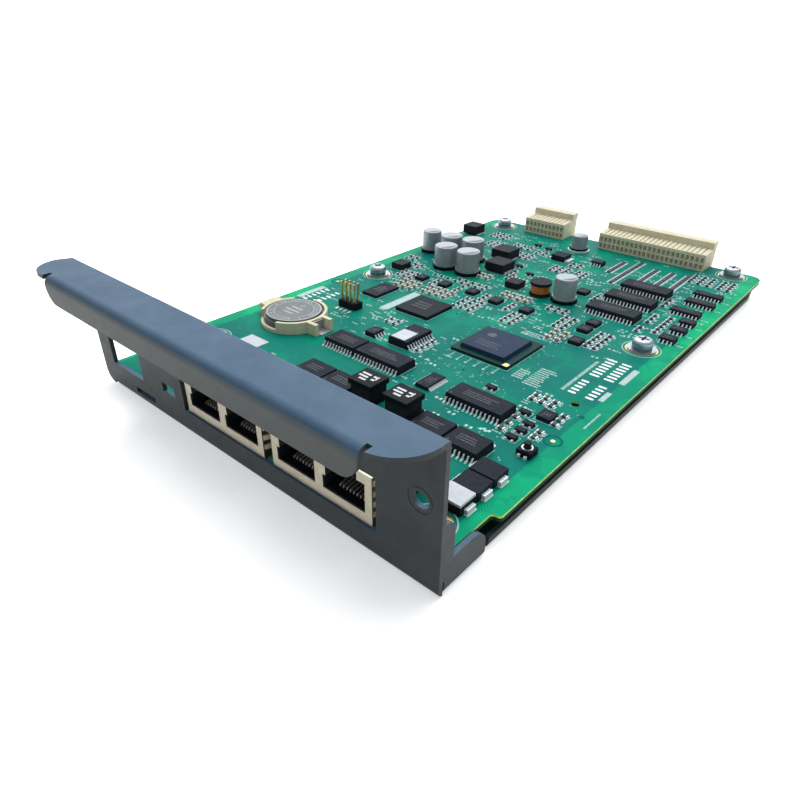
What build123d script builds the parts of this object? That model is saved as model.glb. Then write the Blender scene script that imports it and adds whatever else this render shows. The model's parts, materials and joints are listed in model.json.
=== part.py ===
from build123d import *
import os

# A plug-in control module: one folded sheet tray with a hooded front panel carries one
# printed circuit board. All sizes are in mm. X runs along the front panel, +Y goes back
# from the panel's front face, +Z is up and Z = 0 is the underside of the tray. The files
# have their origin on that underside, origin_y behind the panel's front face.

origin_y = 100.0

# Tray: sheet, panel and hood
sheet = 1.2                 # sheet thickness of the tray
bend_in = 0.4               # inner radius of the bends
top_bend = 0.6              # outer radius of the sharper bend where the hood starts
panel_w = 128.0             # front panel, end to end at its foot
panel_h = 36.7              # front panel, underside to top of the hood
tray_len = 208.0            # panel's front face to the plate's rear edge
ear_w = 6.0                 # the panel's left end reaches past its foot near the top
hood_out = 1.5              # the hood widens past that end over hood_slant
hood_slant = 3.0
ear_z = 22.0                # height where that wider part starts
ear_round = 2.5
hood_inset = 0.0            # the hood stops this far from the panel's right end
hood_reach = 11.3           # from the panel's face to the lip's face
hood_corner_reach = 10.8
hood_corner_r = 9.8
hood_left_r = 7.4
lip_drop = 7.1              # height of the lip below the top of the hood
lip_bend = 2.4
lip_inset_right = 9.6       # from the hood's end to the lip's end
lip_inset_left = 10.9
lip_corner_r = 4.4
notch_w = 1.3               # relief notch beside each end of the lip
notch_start = 8.6

# Tray: plate, wing and side flanges
plate_inset_left = 4.0      # the plate's left edge stands inside the panel's end
foot_trim = 0.4
foot_corner_r = 3.6
flange_inset = 0.6          # the right flange stands this far inside the panel's end
flange_h = 3.0
flange_start = 17.5
flange_end = 198.0
wing_len = 15.3
wing_h = 8.4
wing_corner_r = 4.6
wing_horn_len = 4.2         # the tall part of the wing next to the panel
wing_horn_h = 18.2
wing_horn_r = 2.8
slit_w = 0.4
slit_h = 3.7

# Openings in the panel: left edge from the panel's left end, width, sill height, height
jack_window = (43.5, 68.3, 7.0, 13.8)
side_window = (6.5, 16.5, 8.0, 12.8)
lamp_window = (33.5, 5.8, 9.0, 2.8)
vent_slot = (17.5, 10.0, 2.4, 1.8)
fixing_inset = 5.2          # captive screw hole, from the panel's right end
fixing_z = 21.8
fixing_w = 4.1
fixing_h = 3.5
fixing_ring_r = 3.0
fixing_ring_w = 0.35
fixing_ring_depth = 0.1

# Board
board_w = 127.6
board_rear = 209.5
board_gap = 0.4             # behind the panel
board_t = 1.6
board_z = 5.5               # underside of the board above the tray's underside
board_corner_r = 4.5
notch_right = 2.2           # step in the board's front right edge
notch_left = 3.8
notch_y = 20.4
notch_r = 1.0
tool_hole_r = 1.3
guide_hole_r = 3.2

# Fixings of the board
screw_r = 1.95
screw_clear = 0.1
post_r = 3.8
washer_r = 4.5
washer_t = 0.6
spring_r = 3.1
spring_t = 0.8
head_r = 3.2
head_h = 2.3
drive_w = 0.8
drive_len = 3.6
drive_depth = 1.1

# Jacks
jack_w = 31.2
jack_h = 12.5
jack_d = 18.0
jack_y = 0.6                # the jacks' front faces stand this far behind the panel's face
jack_pitch = 34.5
jack_from_right = 33.4      # centre of the right pair from the panel's right end
shell_t = 0.3
shell_clear = 0.05
port_pitch = 14.9
port_w = 12.4
port_sill = 2.6
port_h = 7.4
latch_w = 8.0
latch_h = 1.7
port_depth = 13.0
port_wall = 0.3
wire_pitch = 1.02
wire_w = 0.3
wire_t = 0.35
wire_rise = 2.8             # height of the wires' rear ends in the port
finger_w = 1.3
finger_out = 0.7
finger_len = 3.4
ground_h = 3.2              # spring tongue at the left of each port
ground_len = 2.6
tongue_out = 0.9            # from the port's side to the tongue's inner face

# Chip packages with gull wing leads
wide_body_w = 7.5
wide_body_h = 2.5
wide_span = 10.3
narrow_body_w = 3.9
narrow_body_h = 1.6
narrow_span = 6.0
lead_pitch = 1.27
lead_w = 0.42
lead_t = 0.28
lead_foot = 0.54            # share of the lead's reach that lies flat
fine_body_w = 4.4
fine_body_h = 1.1
fine_span = 6.3
fine_pitch = 0.65
fine_lead_w = 0.3
body_draft = 7.0

# Backplane connectors
column_pitch = 2.0
column_wall = 0.5
conn_y = 200.4              # front face of the backplane connectors
conn_block_d = 7.9
conn_block_h = 6.8
conn_slope = 0.7            # the block's top rises this much towards the rear
conn_rear_d = 5.0
conn_h = 10.0
conn_drop = 1.4             # the mating part hangs below the board's top at the rear
conn_lip = 0.9              # the rear ledge stands out this far above the mating part
window_w = 1.25             # contact windows in the front face, in two rows
window_h = 1.9
window_rows = (0.7, 3.5)
window_depth = 0.7
groove_w = 0.45             # grooves between the columns on the sloping top
groove_depth = 0.5
blade_t = 0.4

# Other parts on the board
can_r = 5.0
can_h = 9.2
can_small_r = 4.4
can_low_r = 3.8
can_low_h = 6.9
can_base_h = 1.3
switch_w = 3.8
switch_h = 2.0
plunger_r = 0.85
plunger_h = 1.4
plunger_gap = 0.1
plunger_travel = 0.25
cover_t = 0.2
cover_hole_r = 1.05
cover_r = 1.45
cell_r = 10.0
cell_t = 3.2
holder_floor = 0.6
holder_wall = 1.0
holder_h = 3.9
holder_low = 1.2            # the ring's wall is this low where it opens
open_turns = (-122, -92, 120)
open_w = 7.0
holder_clear = 0.2
header_pitch = 2.0
pin_w = 0.6
pin_top = 9.3
header_h = 2.5
cpu_w = 20.6
cpu_t = 0.9
lid_w = 16.2
lid_draft = 14.0
lid_t = 1.3

# Worked out from the sizes above
bend_out = sheet + bend_in
panel_right = panel_w / 2
panel_left = -panel_w / 2
ear_left = panel_left - ear_w
hood_left = ear_left - hood_out
hood_right = panel_right - hood_inset
lip_left = hood_left + lip_inset_left
lip_right = hood_right - lip_inset_right
lip_z = panel_h - lip_drop
plate_left = panel_left + plate_inset_left
flange_right = panel_right - flange_inset
board_top = board_z + board_t
board_front = sheet + board_gap
xr = panel_right
xl = xr - board_w
yr = board_rear

# Places on the board, measured from its right, left and rear edges
screw_places = [
    (xr - 10.3, 115.2), (xr - 10.3, yr - 6.0),
    (xl + 10.6, 108.5), (xl + 10.4, yr - 8.5),
]
guide_holes = [(xr - 10.0, 9.3), (xl + 10.6, 30.5)]
tool_hole = (xr - 10.0, 71.4)
wide28_places = [
    (xr - 28.5, 53.4), (xr - 64.4, 55.0),
    (xr - 28.8, yr - 75.1), (xr - 28.8, yr - 61.0), (xr - 28.8, yr - 47.0),
]
wide20_places = [(xr - 80.2, 55.0)]
wide20_turned = [(xr - 68.2, 71.4)]
wide16_places = [(xr - 73.2, 35.6), (xr - 62.6, 35.6), (xr - 30.4, 35.6), (xr - 19.7, 35.6)]
narrow16_places = [(xr - 9.3, yr - 36.9), (xr - 9.0, yr - 46.5), (xr - 10.0, yr - 57.8)]
narrow8_places = [
    (xr - 6.3, yr - 66.4), (xr - 6.3, yr - 74.4), (xr - 6.4, yr - 83.1),
    (xr - 56.6, yr - 30.0),
]
narrow8_turned = [(xr - 79.6, 66.9)]
fine24_turned = [(xr - 46.0, 54.2)]
coil_pack_places = [(xr - 53.1, 36.5), (xr - 40.8, 36.5)]
diode_places = [(xr - 9.8, 30.0), (xr - 9.8, 23.85)]
fuse_place = (xr - 9.8, 17.6)
can_places = [
    (xl + 18.3, yr - 62.9), (xl + 28.7, yr - 61.7),
    (xl + 25.2, yr - 75.6), (xl + 36.2, yr - 75.4),
]
can_small_places = [(xl + 7.8, yr - 63.0), (xr - 47.8, yr - 75.6)]
can_low_places = [(xr - 72.0, yr - 17.8)]
choke_places = [(xl + 5.9, yr - 28.5), (xl + 37.1, yr - 49.0), (xl + 43.8, yr - 63.4)]
choke_sizes = [7.3, 8.6, 8.8]
choke_heights = [4.3, 4.2, 3.8]
small_choke_places = [(xr - 68.8, yr - 75.5), (xl + 12.3, 120.8)]
drum_place = (xr - 57.6, yr - 75.8)
regulator_place = (xr - 71.6, yr - 34.5)
small_chip_places = [
    (xr - 100.5, 116.5), (xr - 89.2, 116.5), (xr - 76.8, 117.5), (xr - 65.4, 116.0),
    (xr - 52.6, 116.0), (xr - 30.0, 122.0), (xr - 30.0, 115.6), (xr - 27.8, 105.6),
    (xr - 12.2, 60.2), (xr - 46.0, yr - 63.8),
]
transistor_places = [
    (xr - 13.9, 54.0), (xr - 13.9, 50.2), (xr - 14.1, 46.2), (xr - 17.6, 58.2),
    (xr - 31.4, 63.0), (xr - 79.5, yr - 55.3), (xr - 71.1, yr - 60.7),
    (xr - 81.9, yr - 27.0), (xr - 88.1, yr - 25.7), (xr - 92.3, 33.5),
]
memory_place = (xr - 80.9, 93.7)
flash_place = (xr - 103.6, 95.6)
cpu_place = (xr - 44.4, 85.3)
lid_place = (xr - 44.6, 85.1)
switch_place = (xr - 7.8, 43.1)
cell_place = (xl + 20.7, 56.4)
header_place = (xl + 26.2, 77.5)
short_columns = 10
long_columns = 23
short_left = xl + 22.3
long_left = xr - 67.2

os.makedirs("parts", exist_ok=True)


def corners_at(sketch, *points):
    """The sketch's corners nearest to the given points."""
    return [sketch.vertices().sort_by_distance((p[0], p[1], 0))[0] for p in points]


def span_box(x, y, z, mode=Mode.ADD):
    """A box between two values on each axis."""
    with Locations(((x[0] + x[1]) / 2, (y[0] + y[1]) / 2, (z[0] + z[1]) / 2)):
        Box(x[1] - x[0], y[1] - y[0], z[1] - z[0], mode=mode)


def blocks(places, length, width, height, z, draft=0.0):
    """Upright blocks of one size, with an optional draft on their sides."""
    with BuildSketch(Plane.XY.offset(z)) as plan:
        with Locations(*places):
            Rectangle(length, width)
    extrude(plan.sketch, amount=height, taper=draft)


def discs(places, radius, height, z, mode=Mode.ADD):
    """Upright discs of one size."""
    with BuildSketch(Plane.XY.offset(z)) as plan:
        with Locations(*places):
            Circle(radius)
    extrude(plan.sketch, amount=height, mode=mode)


def side_flange(outer, inward, height, y_start, y_end):
    """A low wall bent up from the plate. Inward is -1 on the right side, +1 on the left."""
    root = outer + inward * 2 * bend_out
    inner = outer + inward * sheet
    with BuildSketch(Plane.XZ.offset(-y_end)) as profile:
        with BuildLine():
            Polyline(
                (root, 0), (outer, 0), (outer, height),
                (inner, height), (inner, sheet), (root, sheet),
                close=True,
            )
        make_face()
        fillet(corners_at(profile, (outer, 0)), bend_out)
        fillet(corners_at(profile, (inner, sheet)), bend_in)
    extrude(profile.sketch, amount=y_end - y_start)


def panel_opening(opening):
    """A rectangular opening through the front panel."""
    left, width, sill, height = opening
    with BuildSketch(Plane.XZ.offset(-sheet - 1)) as window:
        with Locations((panel_left + left + width / 2, sill + height / 2)):
            Rectangle(width, height)
    extrude(window.sketch, amount=sheet + 2, mode=Mode.SUBTRACT)


def lead_rows(places, turn, count, pitch, body_w):
    """Where each lead leaves the body, for the rows on both long sides of each package."""
    rows = []
    for x, y in places:
        centre = Location((x, y, board_top), (0, 0, turn))
        for side in (0, 180):
            for i in range(count):
                along = (i - (count - 1) / 2) * pitch
                rows.append(centre * Location((0, 0, 0), (0, 0, side)) * Location((along, body_w / 2, 0)))
    return rows


def gull_wing(reach, shoulder, width):
    """One lead: out of the body, down, and flat on the board. It leaves the body at Y = 0."""
    knee = reach * (1 - lead_foot)
    with BuildSketch(Plane.YZ.offset(-width / 2)) as side_view:
        with BuildLine():
            Polyline(
                (0, shoulder), (0, shoulder + lead_t), (knee * 0.6, shoulder + lead_t),
                (knee + lead_t * 0.6, lead_t), (reach, lead_t), (reach, 0),
                (knee, 0), (knee * 0.6 - lead_t * 0.6, shoulder),
                close=True,
            )
        make_face()
    extrude(side_view.sketch, amount=width)


# Tray: plate, front panel and hood, folded from one sheet
with BuildPart() as tray:
    with BuildSketch(Plane.YZ.offset(hood_left)) as fold:
        with BuildLine():
            Polyline(
                (tray_len, 0), (0, 0), (0, panel_h - sheet), (-bend_out, panel_h - sheet),
                (-bend_out, panel_h), (sheet, panel_h), (sheet, sheet), (tray_len, sheet),
                close=True,
            )
        make_face()
        fillet(corners_at(fold, (0, 0)), bend_out)
        fillet(corners_at(fold, (sheet, panel_h)), top_bend)
        fillet(corners_at(fold, (sheet, sheet), (0, panel_h - sheet)), bend_in)
    extrude(amount=panel_right - hood_left)
    # the ear above, the narrower foot below
    with BuildSketch(Plane.XZ.offset(-tray_len - 1)) as ear_cut:
        with BuildLine():
            Polyline(
                (hood_left - 5, -1), (panel_left, -1), (panel_left, ear_z),
                (hood_left - 5, ear_z),
                close=True,
            )
        make_face()
        fillet(corners_at(ear_cut, (panel_left, ear_z)), ear_round)
    extrude(amount=tray_len + 2, mode=Mode.SUBTRACT)
    span_box(
        (hood_left - 1, ear_left), (-bend_out, sheet + 1), (-1, panel_h + 1), Mode.SUBTRACT,
    )
    span_box((hood_left, plate_left), (-1, tray_len + 1), (-1, bend_out), Mode.SUBTRACT)
    span_box((hood_left, plate_left), (-1, sheet + 1), (-1, 2 * foot_corner_r), Mode.SUBTRACT)
    with BuildSketch(Plane.XZ.offset(-sheet)) as foot:
        with BuildLine():
            Polyline(
                (plate_left, foot_trim), (panel_left, foot_trim),
                (panel_left, 2 * foot_corner_r), (plate_left, 2 * foot_corner_r),
                close=True,
            )
        make_face()
        fillet(corners_at(foot, (panel_left, foot_trim)), foot_corner_r)
    extrude(amount=sheet)
    # hood with round corners, and the lip between its two relief notches
    span_box(
        (hood_right, panel_right + 1), (-bend_out - 1, 0),
        (panel_h - sheet - bend_in, panel_h + 1), Mode.SUBTRACT,
    )
    with BuildSketch(Plane.XY.offset(panel_h - sheet)) as hood_plan:
        with BuildLine():
            Polyline(
                (ear_left, 0), (hood_left, -hood_slant), (hood_left, -hood_corner_reach),
                (hood_right, -hood_corner_reach), (hood_right, 0),
                close=True,
            )
        make_face()
        fillet(corners_at(hood_plan, (hood_right, -hood_corner_reach)), hood_corner_r)
        fillet(corners_at(hood_plan, (hood_left, -hood_corner_reach)), hood_left_r)
        with Locations(((lip_left + lip_right) / 2, -notch_start - hood_reach / 2)):
            Rectangle(lip_right - lip_left + 2 * notch_w, hood_reach, mode=Mode.SUBTRACT)
    extrude(amount=sheet)
    with BuildSketch(Plane.YZ.offset(lip_left)) as lip:
        with BuildLine():
            Polyline(
                (-notch_start, panel_h - sheet), (-hood_reach + sheet, panel_h - sheet),
                (-hood_reach + sheet, lip_z), (-hood_reach, lip_z),
                (-hood_reach, panel_h), (-notch_start, panel_h),
                close=True,
            )
        make_face()
        fillet(corners_at(lip, (-hood_reach, panel_h)), lip_bend)
        fillet(corners_at(lip, (-hood_reach + sheet, panel_h - sheet)), lip_bend - sheet)
    extrude(amount=lip_right - lip_left)
    fillet(
        tray.edges().filter_by(Axis.Y).filter_by_position(Axis.Z, lip_z - 0.1, lip_z + 0.1),
        lip_corner_r,
    )
    # the plate's sides: wing at the front right, low flanges behind
    span_box(
        (flange_right - bend_out, panel_right + 1), (bend_out, tray_len + 1),
        (-1, bend_out), Mode.SUBTRACT,
    )
    span_box(
        (plate_left - 1, plate_left + bend_out), (bend_out, tray_len + 1),
        (-1, bend_out), Mode.SUBTRACT,
    )
    side_flange(flange_right, -1, flange_h, flange_start, flange_end)
    side_flange(plate_left, 1, flange_h, flange_start, flange_end)
    side_flange(panel_right, -1, flange_h, sheet + slit_w, wing_len)
    with BuildSketch(Plane.YZ.offset(panel_right - sheet)) as wing:
        with BuildLine():
            Polyline(
                (sheet / 2, bend_out), (wing_len, bend_out), (wing_len, wing_h),
                (wing_horn_len, wing_h), (wing_horn_len, wing_horn_h), (sheet / 2, wing_horn_h),
                close=True,
            )
        make_face()
        fillet(corners_at(wing, (wing_len, wing_h)), wing_corner_r)
        fillet(corners_at(wing, (wing_horn_len, wing_horn_h)), wing_horn_r)
    extrude(amount=sheet)
    span_box(
        (panel_right - 2 * bend_out, panel_right + 1), (sheet, sheet + slit_w),
        (-1, slit_h), Mode.SUBTRACT,
    )
    # openings in the panel
    for opening in (jack_window, side_window, lamp_window, vent_slot):
        panel_opening(opening)
    with BuildSketch(Plane.XZ.offset(-sheet - 1)):
        with Locations((panel_right - fixing_inset, fixing_z)):
            SlotOverall(fixing_w, fixing_h)
    extrude(amount=sheet + 2, mode=Mode.SUBTRACT)
    with BuildSketch(Plane.XZ.offset(-fixing_ring_depth)):
        with Locations((panel_right - fixing_inset, fixing_z)):
            Circle(fixing_ring_r)
            Circle(fixing_ring_r - fixing_ring_w, mode=Mode.SUBTRACT)
    extrude(amount=fixing_ring_depth + 0.1, mode=Mode.SUBTRACT)

# Posts pressed into the plate, under the board's screws
with BuildPart() as posts:
    discs(screw_places, post_r, board_z - sheet, sheet)
    discs(screw_places, screw_r + screw_clear, board_z - sheet, sheet, Mode.SUBTRACT)

# Board
with BuildPart() as board:
    with BuildSketch(Plane.XY.offset(board_z)) as outline:
        with BuildLine():
            Polyline(
                (xl + notch_left, board_front), (xr - notch_right, board_front),
                (xr - notch_right, notch_y), (xr, notch_y), (xr, yr), (xl, yr),
                (xl, notch_y), (xl + notch_left, notch_y),
                close=True,
            )
        make_face()
        fillet(corners_at(outline, (xr, yr), (xl, yr)), board_corner_r)
        fillet(
            corners_at(
                outline, (xr - notch_right, notch_y), (xr, notch_y),
                (xl, notch_y), (xl + notch_left, notch_y),
            ),
            notch_r,
        )
        with Locations(*screw_places):
            Circle(screw_r + screw_clear, mode=Mode.SUBTRACT)
        with Locations(*guide_holes):
            Circle(guide_hole_r, mode=Mode.SUBTRACT)
        with Locations(tool_hole):
            Circle(tool_hole_r, mode=Mode.SUBTRACT)
    extrude(amount=board_t)

# Screws with their two washers
washer_z = board_top
spring_z = washer_z + washer_t
head_z = spring_z + spring_t
with BuildPart() as flat_washers:
    discs(screw_places, washer_r, washer_t, washer_z)
    discs(screw_places, screw_r + screw_clear, washer_t, washer_z, Mode.SUBTRACT)
with BuildPart() as spring_washers:
    with BuildSketch(Plane.XY.offset(spring_z)):
        with Locations(*screw_places):
            Circle(spring_r)
            Circle(screw_r + screw_clear, mode=Mode.SUBTRACT)
            with Locations((spring_r / 2 + screw_r / 2, 0)):
                Rectangle(spring_r, 0.5, mode=Mode.SUBTRACT)
    extrude(amount=spring_t)
with BuildPart() as screws:
    discs(screw_places, screw_r, head_z - sheet - 0.3, sheet + 0.3)
    discs(screw_places, head_r, head_h, head_z)
    fillet(
        screws.edges().filter_by(GeomType.CIRCLE)
        .filter_by_position(Axis.Z, head_z + head_h - 0.1, head_z + head_h + 0.1),
        head_h * 0.6,
    )
    with BuildSketch(Plane.XY.offset(head_z + head_h - drive_depth)):
        with Locations(*screw_places):
            Rectangle(drive_len, drive_w)
            Rectangle(drive_w, drive_len)
    extrude(amount=drive_depth + 1, mode=Mode.SUBTRACT)

# Two double jacks: black insert, contact wires and metal shell
jack_right_x = panel_right - jack_from_right
jack_left_x = jack_right_x - jack_pitch
jack_mid_y = jack_y + jack_d / 2
jack_places = [(jack_left_x, jack_mid_y), (jack_right_x, jack_mid_y)]
port_centres = [x + side * port_pitch / 2 for x, _ in jack_places for side in (-1, 1)]
port_floor = board_top + port_sill
insert_y = jack_y + shell_t + shell_clear


def port_faces(grow, y, depth, mode):
    """The four ports' outlines, cut or filled from y backwards. Grow widens them."""
    with BuildSketch(Plane.XZ.offset(-y - depth)) as outline:
        with Locations(*[(x, port_floor + port_h / 2) for x in port_centres]):
            Rectangle(port_w + 2 * grow, port_h + 2 * grow)
        with Locations(*[(x, port_floor + port_h + latch_h / 2) for x in port_centres]):
            Rectangle(latch_w + 2 * grow, latch_h + 2 * grow)
    extrude(outline.sketch, amount=depth, mode=mode)


with BuildPart() as jack_shells:
    blocks(jack_places, jack_w, jack_d, jack_h, board_top)
    with BuildSketch(Plane.XY.offset(board_top)):
        with Locations(*jack_places):
            Rectangle(jack_w - 2 * shell_t, jack_d - 2 * shell_t)
    extrude(amount=jack_h - shell_t, mode=Mode.SUBTRACT)
    port_faces(0, jack_y - 1, 2, Mode.SUBTRACT)
    for level in (2.4, 5.0, 7.6, 10.2):
        with BuildSketch(Plane.XY.offset(board_top + level)):
            for x, _ in jack_places:
                for side in (-1, 1):
                    wall = x + side * jack_w / 2
                    with BuildLine():
                        Polyline(
                            (wall, jack_y + 0.3),
                            (wall + side * finger_out, jack_y + 0.3 + finger_len / 2),
                            (wall, jack_y + 0.3 + finger_len),
                            close=True,
                        )
                    make_face()
        extrude(amount=finger_w)
    # a spring tongue bent into each port at its left side
    tongue_z = port_floor + port_h - port_wall - 0.3
    for x in port_centres:
        side = x - port_w / 2
        span_box(
            (side - 0.2, side + tongue_out), (jack_y, jack_y + shell_t),
            (tongue_z - ground_h, tongue_z),
        )
        span_box(
            (side + tongue_out - shell_t, side + tongue_out), (jack_y, insert_y + ground_len),
            (tongue_z - ground_h, tongue_z),
        )

with BuildPart() as jack_inserts:
    with BuildSketch(Plane.XY.offset(board_top)):
        with Locations(*jack_places):
            Rectangle(jack_w - 2 * (shell_t + shell_clear), jack_d - 2 * (shell_t + shell_clear))
    extrude(amount=jack_h - shell_t - shell_clear)
    port_faces(-port_wall, insert_y, port_depth, Mode.SUBTRACT)

wire_floor = port_floor + port_wall
wire_back = insert_y + port_depth
with BuildPart() as jack_wires:
    for centre in port_centres:
        for i in range(8):
            x = centre + (i - 3.5) * wire_pitch - wire_w / 2
            with BuildSketch(Plane.YZ.offset(x)):
                with BuildLine():
                    Polyline(
                        (insert_y + 2.0, wire_floor), (insert_y + 2.5, wire_floor),
                        (wire_back, wire_floor + wire_rise - wire_t),
                        (wire_back, wire_floor + wire_rise), (insert_y + 2.3, wire_floor + 0.6),
                        close=True,
                    )
                make_face()
            extrude(amount=wire_w)

# Wide, narrow and fine-pitch packages with gull wing leads
with BuildPart() as wide_lead:
    gull_wing((wide_span - wide_body_w) / 2, wide_body_h * 0.4, lead_w)
with BuildPart() as narrow_lead:
    gull_wing((narrow_span - narrow_body_w) / 2, narrow_body_h * 0.4, lead_w)
with BuildPart() as fine_lead:
    gull_wing((fine_span - fine_body_w) / 2, fine_body_h * 0.35, fine_lead_w)


def package_len(count, pitch):
    """Length of a body that carries this many leads on each side."""
    return (count - 1) * pitch + 1.2


def body_blocks(places, turned, count, pitch, body_w, body_h):
    """Plastic bodies: straight to the parting line, then drawn in towards the top."""
    length = package_len(count, pitch)
    size = (body_w, length) if turned else (length, body_w)
    blocks(places, size[0], size[1], body_h * 0.55, board_top)
    blocks(places, size[0], size[1], body_h * 0.45, board_top + body_h * 0.55, body_draft)


with BuildPart() as wide_chips:
    body_blocks(wide28_places, False, 14, lead_pitch, wide_body_w, wide_body_h)
    body_blocks(wide20_places, False, 10, lead_pitch, wide_body_w, wide_body_h)
    body_blocks(wide20_turned, True, 10, lead_pitch, wide_body_w, wide_body_h)
    body_blocks(wide16_places, False, 8, lead_pitch, wide_body_w, wide_body_h)
with BuildPart() as wide_chip_leads:
    rows = lead_rows(wide28_places, 0, 14, lead_pitch, wide_body_w)
    rows += lead_rows(wide20_places, 0, 10, lead_pitch, wide_body_w)
    rows += lead_rows(wide20_turned, 90, 10, lead_pitch, wide_body_w)
    rows += lead_rows(wide16_places, 0, 8, lead_pitch, wide_body_w)
    with Locations(*rows):
        add(wide_lead.part)

with BuildPart() as narrow_chips:
    body_blocks(narrow16_places, False, 8, lead_pitch, narrow_body_w, narrow_body_h)
    body_blocks(narrow8_places, False, 4, lead_pitch, narrow_body_w, narrow_body_h)
    body_blocks(narrow8_turned, True, 4, lead_pitch, narrow_body_w, narrow_body_h)
with BuildPart() as narrow_chip_leads:
    rows = lead_rows(narrow16_places, 0, 8, lead_pitch, narrow_body_w)
    rows += lead_rows(narrow8_places, 0, 4, lead_pitch, narrow_body_w)
    rows += lead_rows(narrow8_turned, 90, 4, lead_pitch, narrow_body_w)
    with Locations(*rows):
        add(narrow_lead.part)

with BuildPart() as fine_chip:
    body_blocks(fine24_turned, True, 12, fine_pitch, fine_body_w, fine_body_h)
with BuildPart() as fine_chip_leads:
    with Locations(*lead_rows(fine24_turned, 90, 12, fine_pitch, fine_body_w)):
        add(fine_lead.part)

# Small leadless chips and three-legged transistors
with BuildPart() as small_chips:
    blocks(small_chip_places, 4.0, 4.4, 1.2, board_top)
with BuildPart() as transistors:
    blocks(transistor_places, 2.9, 1.7, 0.95, board_top)
with BuildPart() as transistor_legs:
    foot_places = []
    for x, y in transistor_places:
        foot_places += [(x - 0.95, y - 1.15), (x + 0.95, y - 1.15), (x, y + 1.15)]
    blocks(foot_places, 0.45, 0.6, 0.5, board_top)

# Flat packages: processor with its lid, memory and flash
with BuildPart() as processor_base:
    blocks([cpu_place], cpu_w, cpu_w, cpu_t, board_top)
with BuildPart() as processor_lid:
    blocks([lid_place], lid_w, lid_w, lid_t, board_top + cpu_t, lid_draft)
with BuildPart() as memory_chip:
    blocks([memory_place], 14.3, 14.3, 1.2, board_top)
with BuildPart() as flash_chip:
    blocks([flash_place], 7.2, 12.4, 1.0, board_top)

# Pulse transformers: tall black packs with short legs at the front and rear
pack_w = 8.2
pack_d = 7.3
pack_h = 6.5
pack_base_h = 1.5
pack_lid_h = 1.6
core_w = 4.4
coil_w = 6.6
with BuildPart() as coil_packs:
    blocks(coil_pack_places, pack_w - 0.4, pack_d, pack_base_h, board_top)
    blocks(coil_pack_places, core_w, pack_d - 1.6, pack_h, board_top)
    blocks(coil_pack_places, pack_w, pack_d, pack_lid_h, board_top + pack_h - pack_lid_h)
with BuildPart() as coil_windings:
    coil_h = pack_h - pack_base_h - pack_lid_h
    blocks(coil_pack_places, coil_w, pack_d - 0.4, coil_h, board_top + pack_base_h)
    with BuildSketch(Plane.XY.offset(board_top + pack_base_h)):
        with Locations(*coil_pack_places):
            Rectangle(core_w, pack_d - 1.6)
    extrude(amount=coil_h, mode=Mode.SUBTRACT)
with BuildPart() as coil_pack_legs:
    leg_places = []
    for x, y in coil_pack_places:
        for side in (-1, 1):
            for i in range(5):
                leg_places.append((x + (i - 2) * 1.5, y + side * (pack_d / 2 + 0.35)))
    blocks(leg_places, 0.5, 0.7, 0.9, board_top)

# Surge diodes, and the white-topped fuse in front of them
diode_w = 6.9
diode_d = 5.6
diode_h = 2.4
fuse_d = 5.8
fuse_h = 2.2
fuse_cap_h = 0.7
tab_w = 3.0
tab_out = 0.9
tab_h = 1.3
with BuildPart() as diodes:
    blocks(diode_places, diode_w, diode_d, diode_h, board_top)
with BuildPart() as fuse_body:
    blocks([fuse_place], diode_w, fuse_d, fuse_h, board_top)
with BuildPart() as fuse_cap:
    blocks([fuse_place], diode_w - 0.3, fuse_d - 0.3, fuse_cap_h, board_top + fuse_h)
with BuildPart() as end_tabs:
    tab_places = []
    for x, y in diode_places + [fuse_place]:
        for side in (-1, 1):
            tab_places.append((x + side * (diode_w + tab_out) / 2, y))
    blocks(tab_places, tab_out, tab_w, tab_h, board_top)

# Aluminium capacitors on their black bases
can_sets = [
    (can_places, can_r, can_h), (can_small_places, can_small_r, can_h),
    (can_low_places, can_low_r, can_low_h),
]
with BuildPart() as capacitor_bases:
    for places, radius, _ in can_sets:
        with BuildSketch(Plane.XY.offset(board_top)) as base_plan:
            with Locations(*places):
                RegularPolygon(radius * 1.02, 8, major_radius=False, rotation=22.5)
        extrude(amount=can_base_h)
with BuildPart() as capacitor_cans:
    for places, radius, height in can_sets:
        discs(places, radius, 0.8, board_top + can_base_h)
        discs(places, radius - 0.35, height - can_base_h - 0.8, board_top + can_base_h + 0.8)
    for height in (can_h, can_low_h):
        fillet(
            capacitor_cans.edges().filter_by(GeomType.CIRCLE)
            .filter_by_position(Axis.Z, board_top + height - 0.05, board_top + height + 0.05),
            0.5,
        )

# Shielded chokes, and the open drum choke with its copper winding
with BuildPart() as chokes:
    for place, size, height in zip(choke_places, choke_sizes, choke_heights):
        blocks([place], size, size, height - 0.6, board_top + 0.6)
    blocks(small_choke_places, 5.6, 5.6, 2.4, board_top)
with BuildPart() as choke_feet:
    for (x, y), size in zip(choke_places, choke_sizes):
        blocks([(x - size * 0.4, y), (x + size * 0.4, y)], size * 0.2, size * 0.6, 0.6, board_top)
drum_r = 4.0
drum_neck_r = 2.2
drum_plate = 1.1
drum_h = 5.2
with BuildPart() as drum_core:
    discs([drum_place], drum_r, drum_plate, board_top)
    discs([drum_place], drum_neck_r, drum_h, board_top)
    discs([drum_place], drum_r, drum_plate, board_top + drum_h - drum_plate)
with BuildPart() as drum_winding:
    turns = 5
    wire = (drum_h - 2 * drum_plate) / turns
    for i in range(turns):
        z = board_top + drum_plate + (i + 0.5) * wire
        with BuildSketch(Plane.XZ.offset(-drum_place[1])):
            with Locations((drum_place[0] + (drum_neck_r + drum_r - 0.4) / 2, z)):
                RectangleRounded(drum_r - 0.4 - drum_neck_r, wire, wire * 0.3)
        revolve(axis=Axis((drum_place[0], drum_place[1], 0), (0, 0, 1)))

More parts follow.
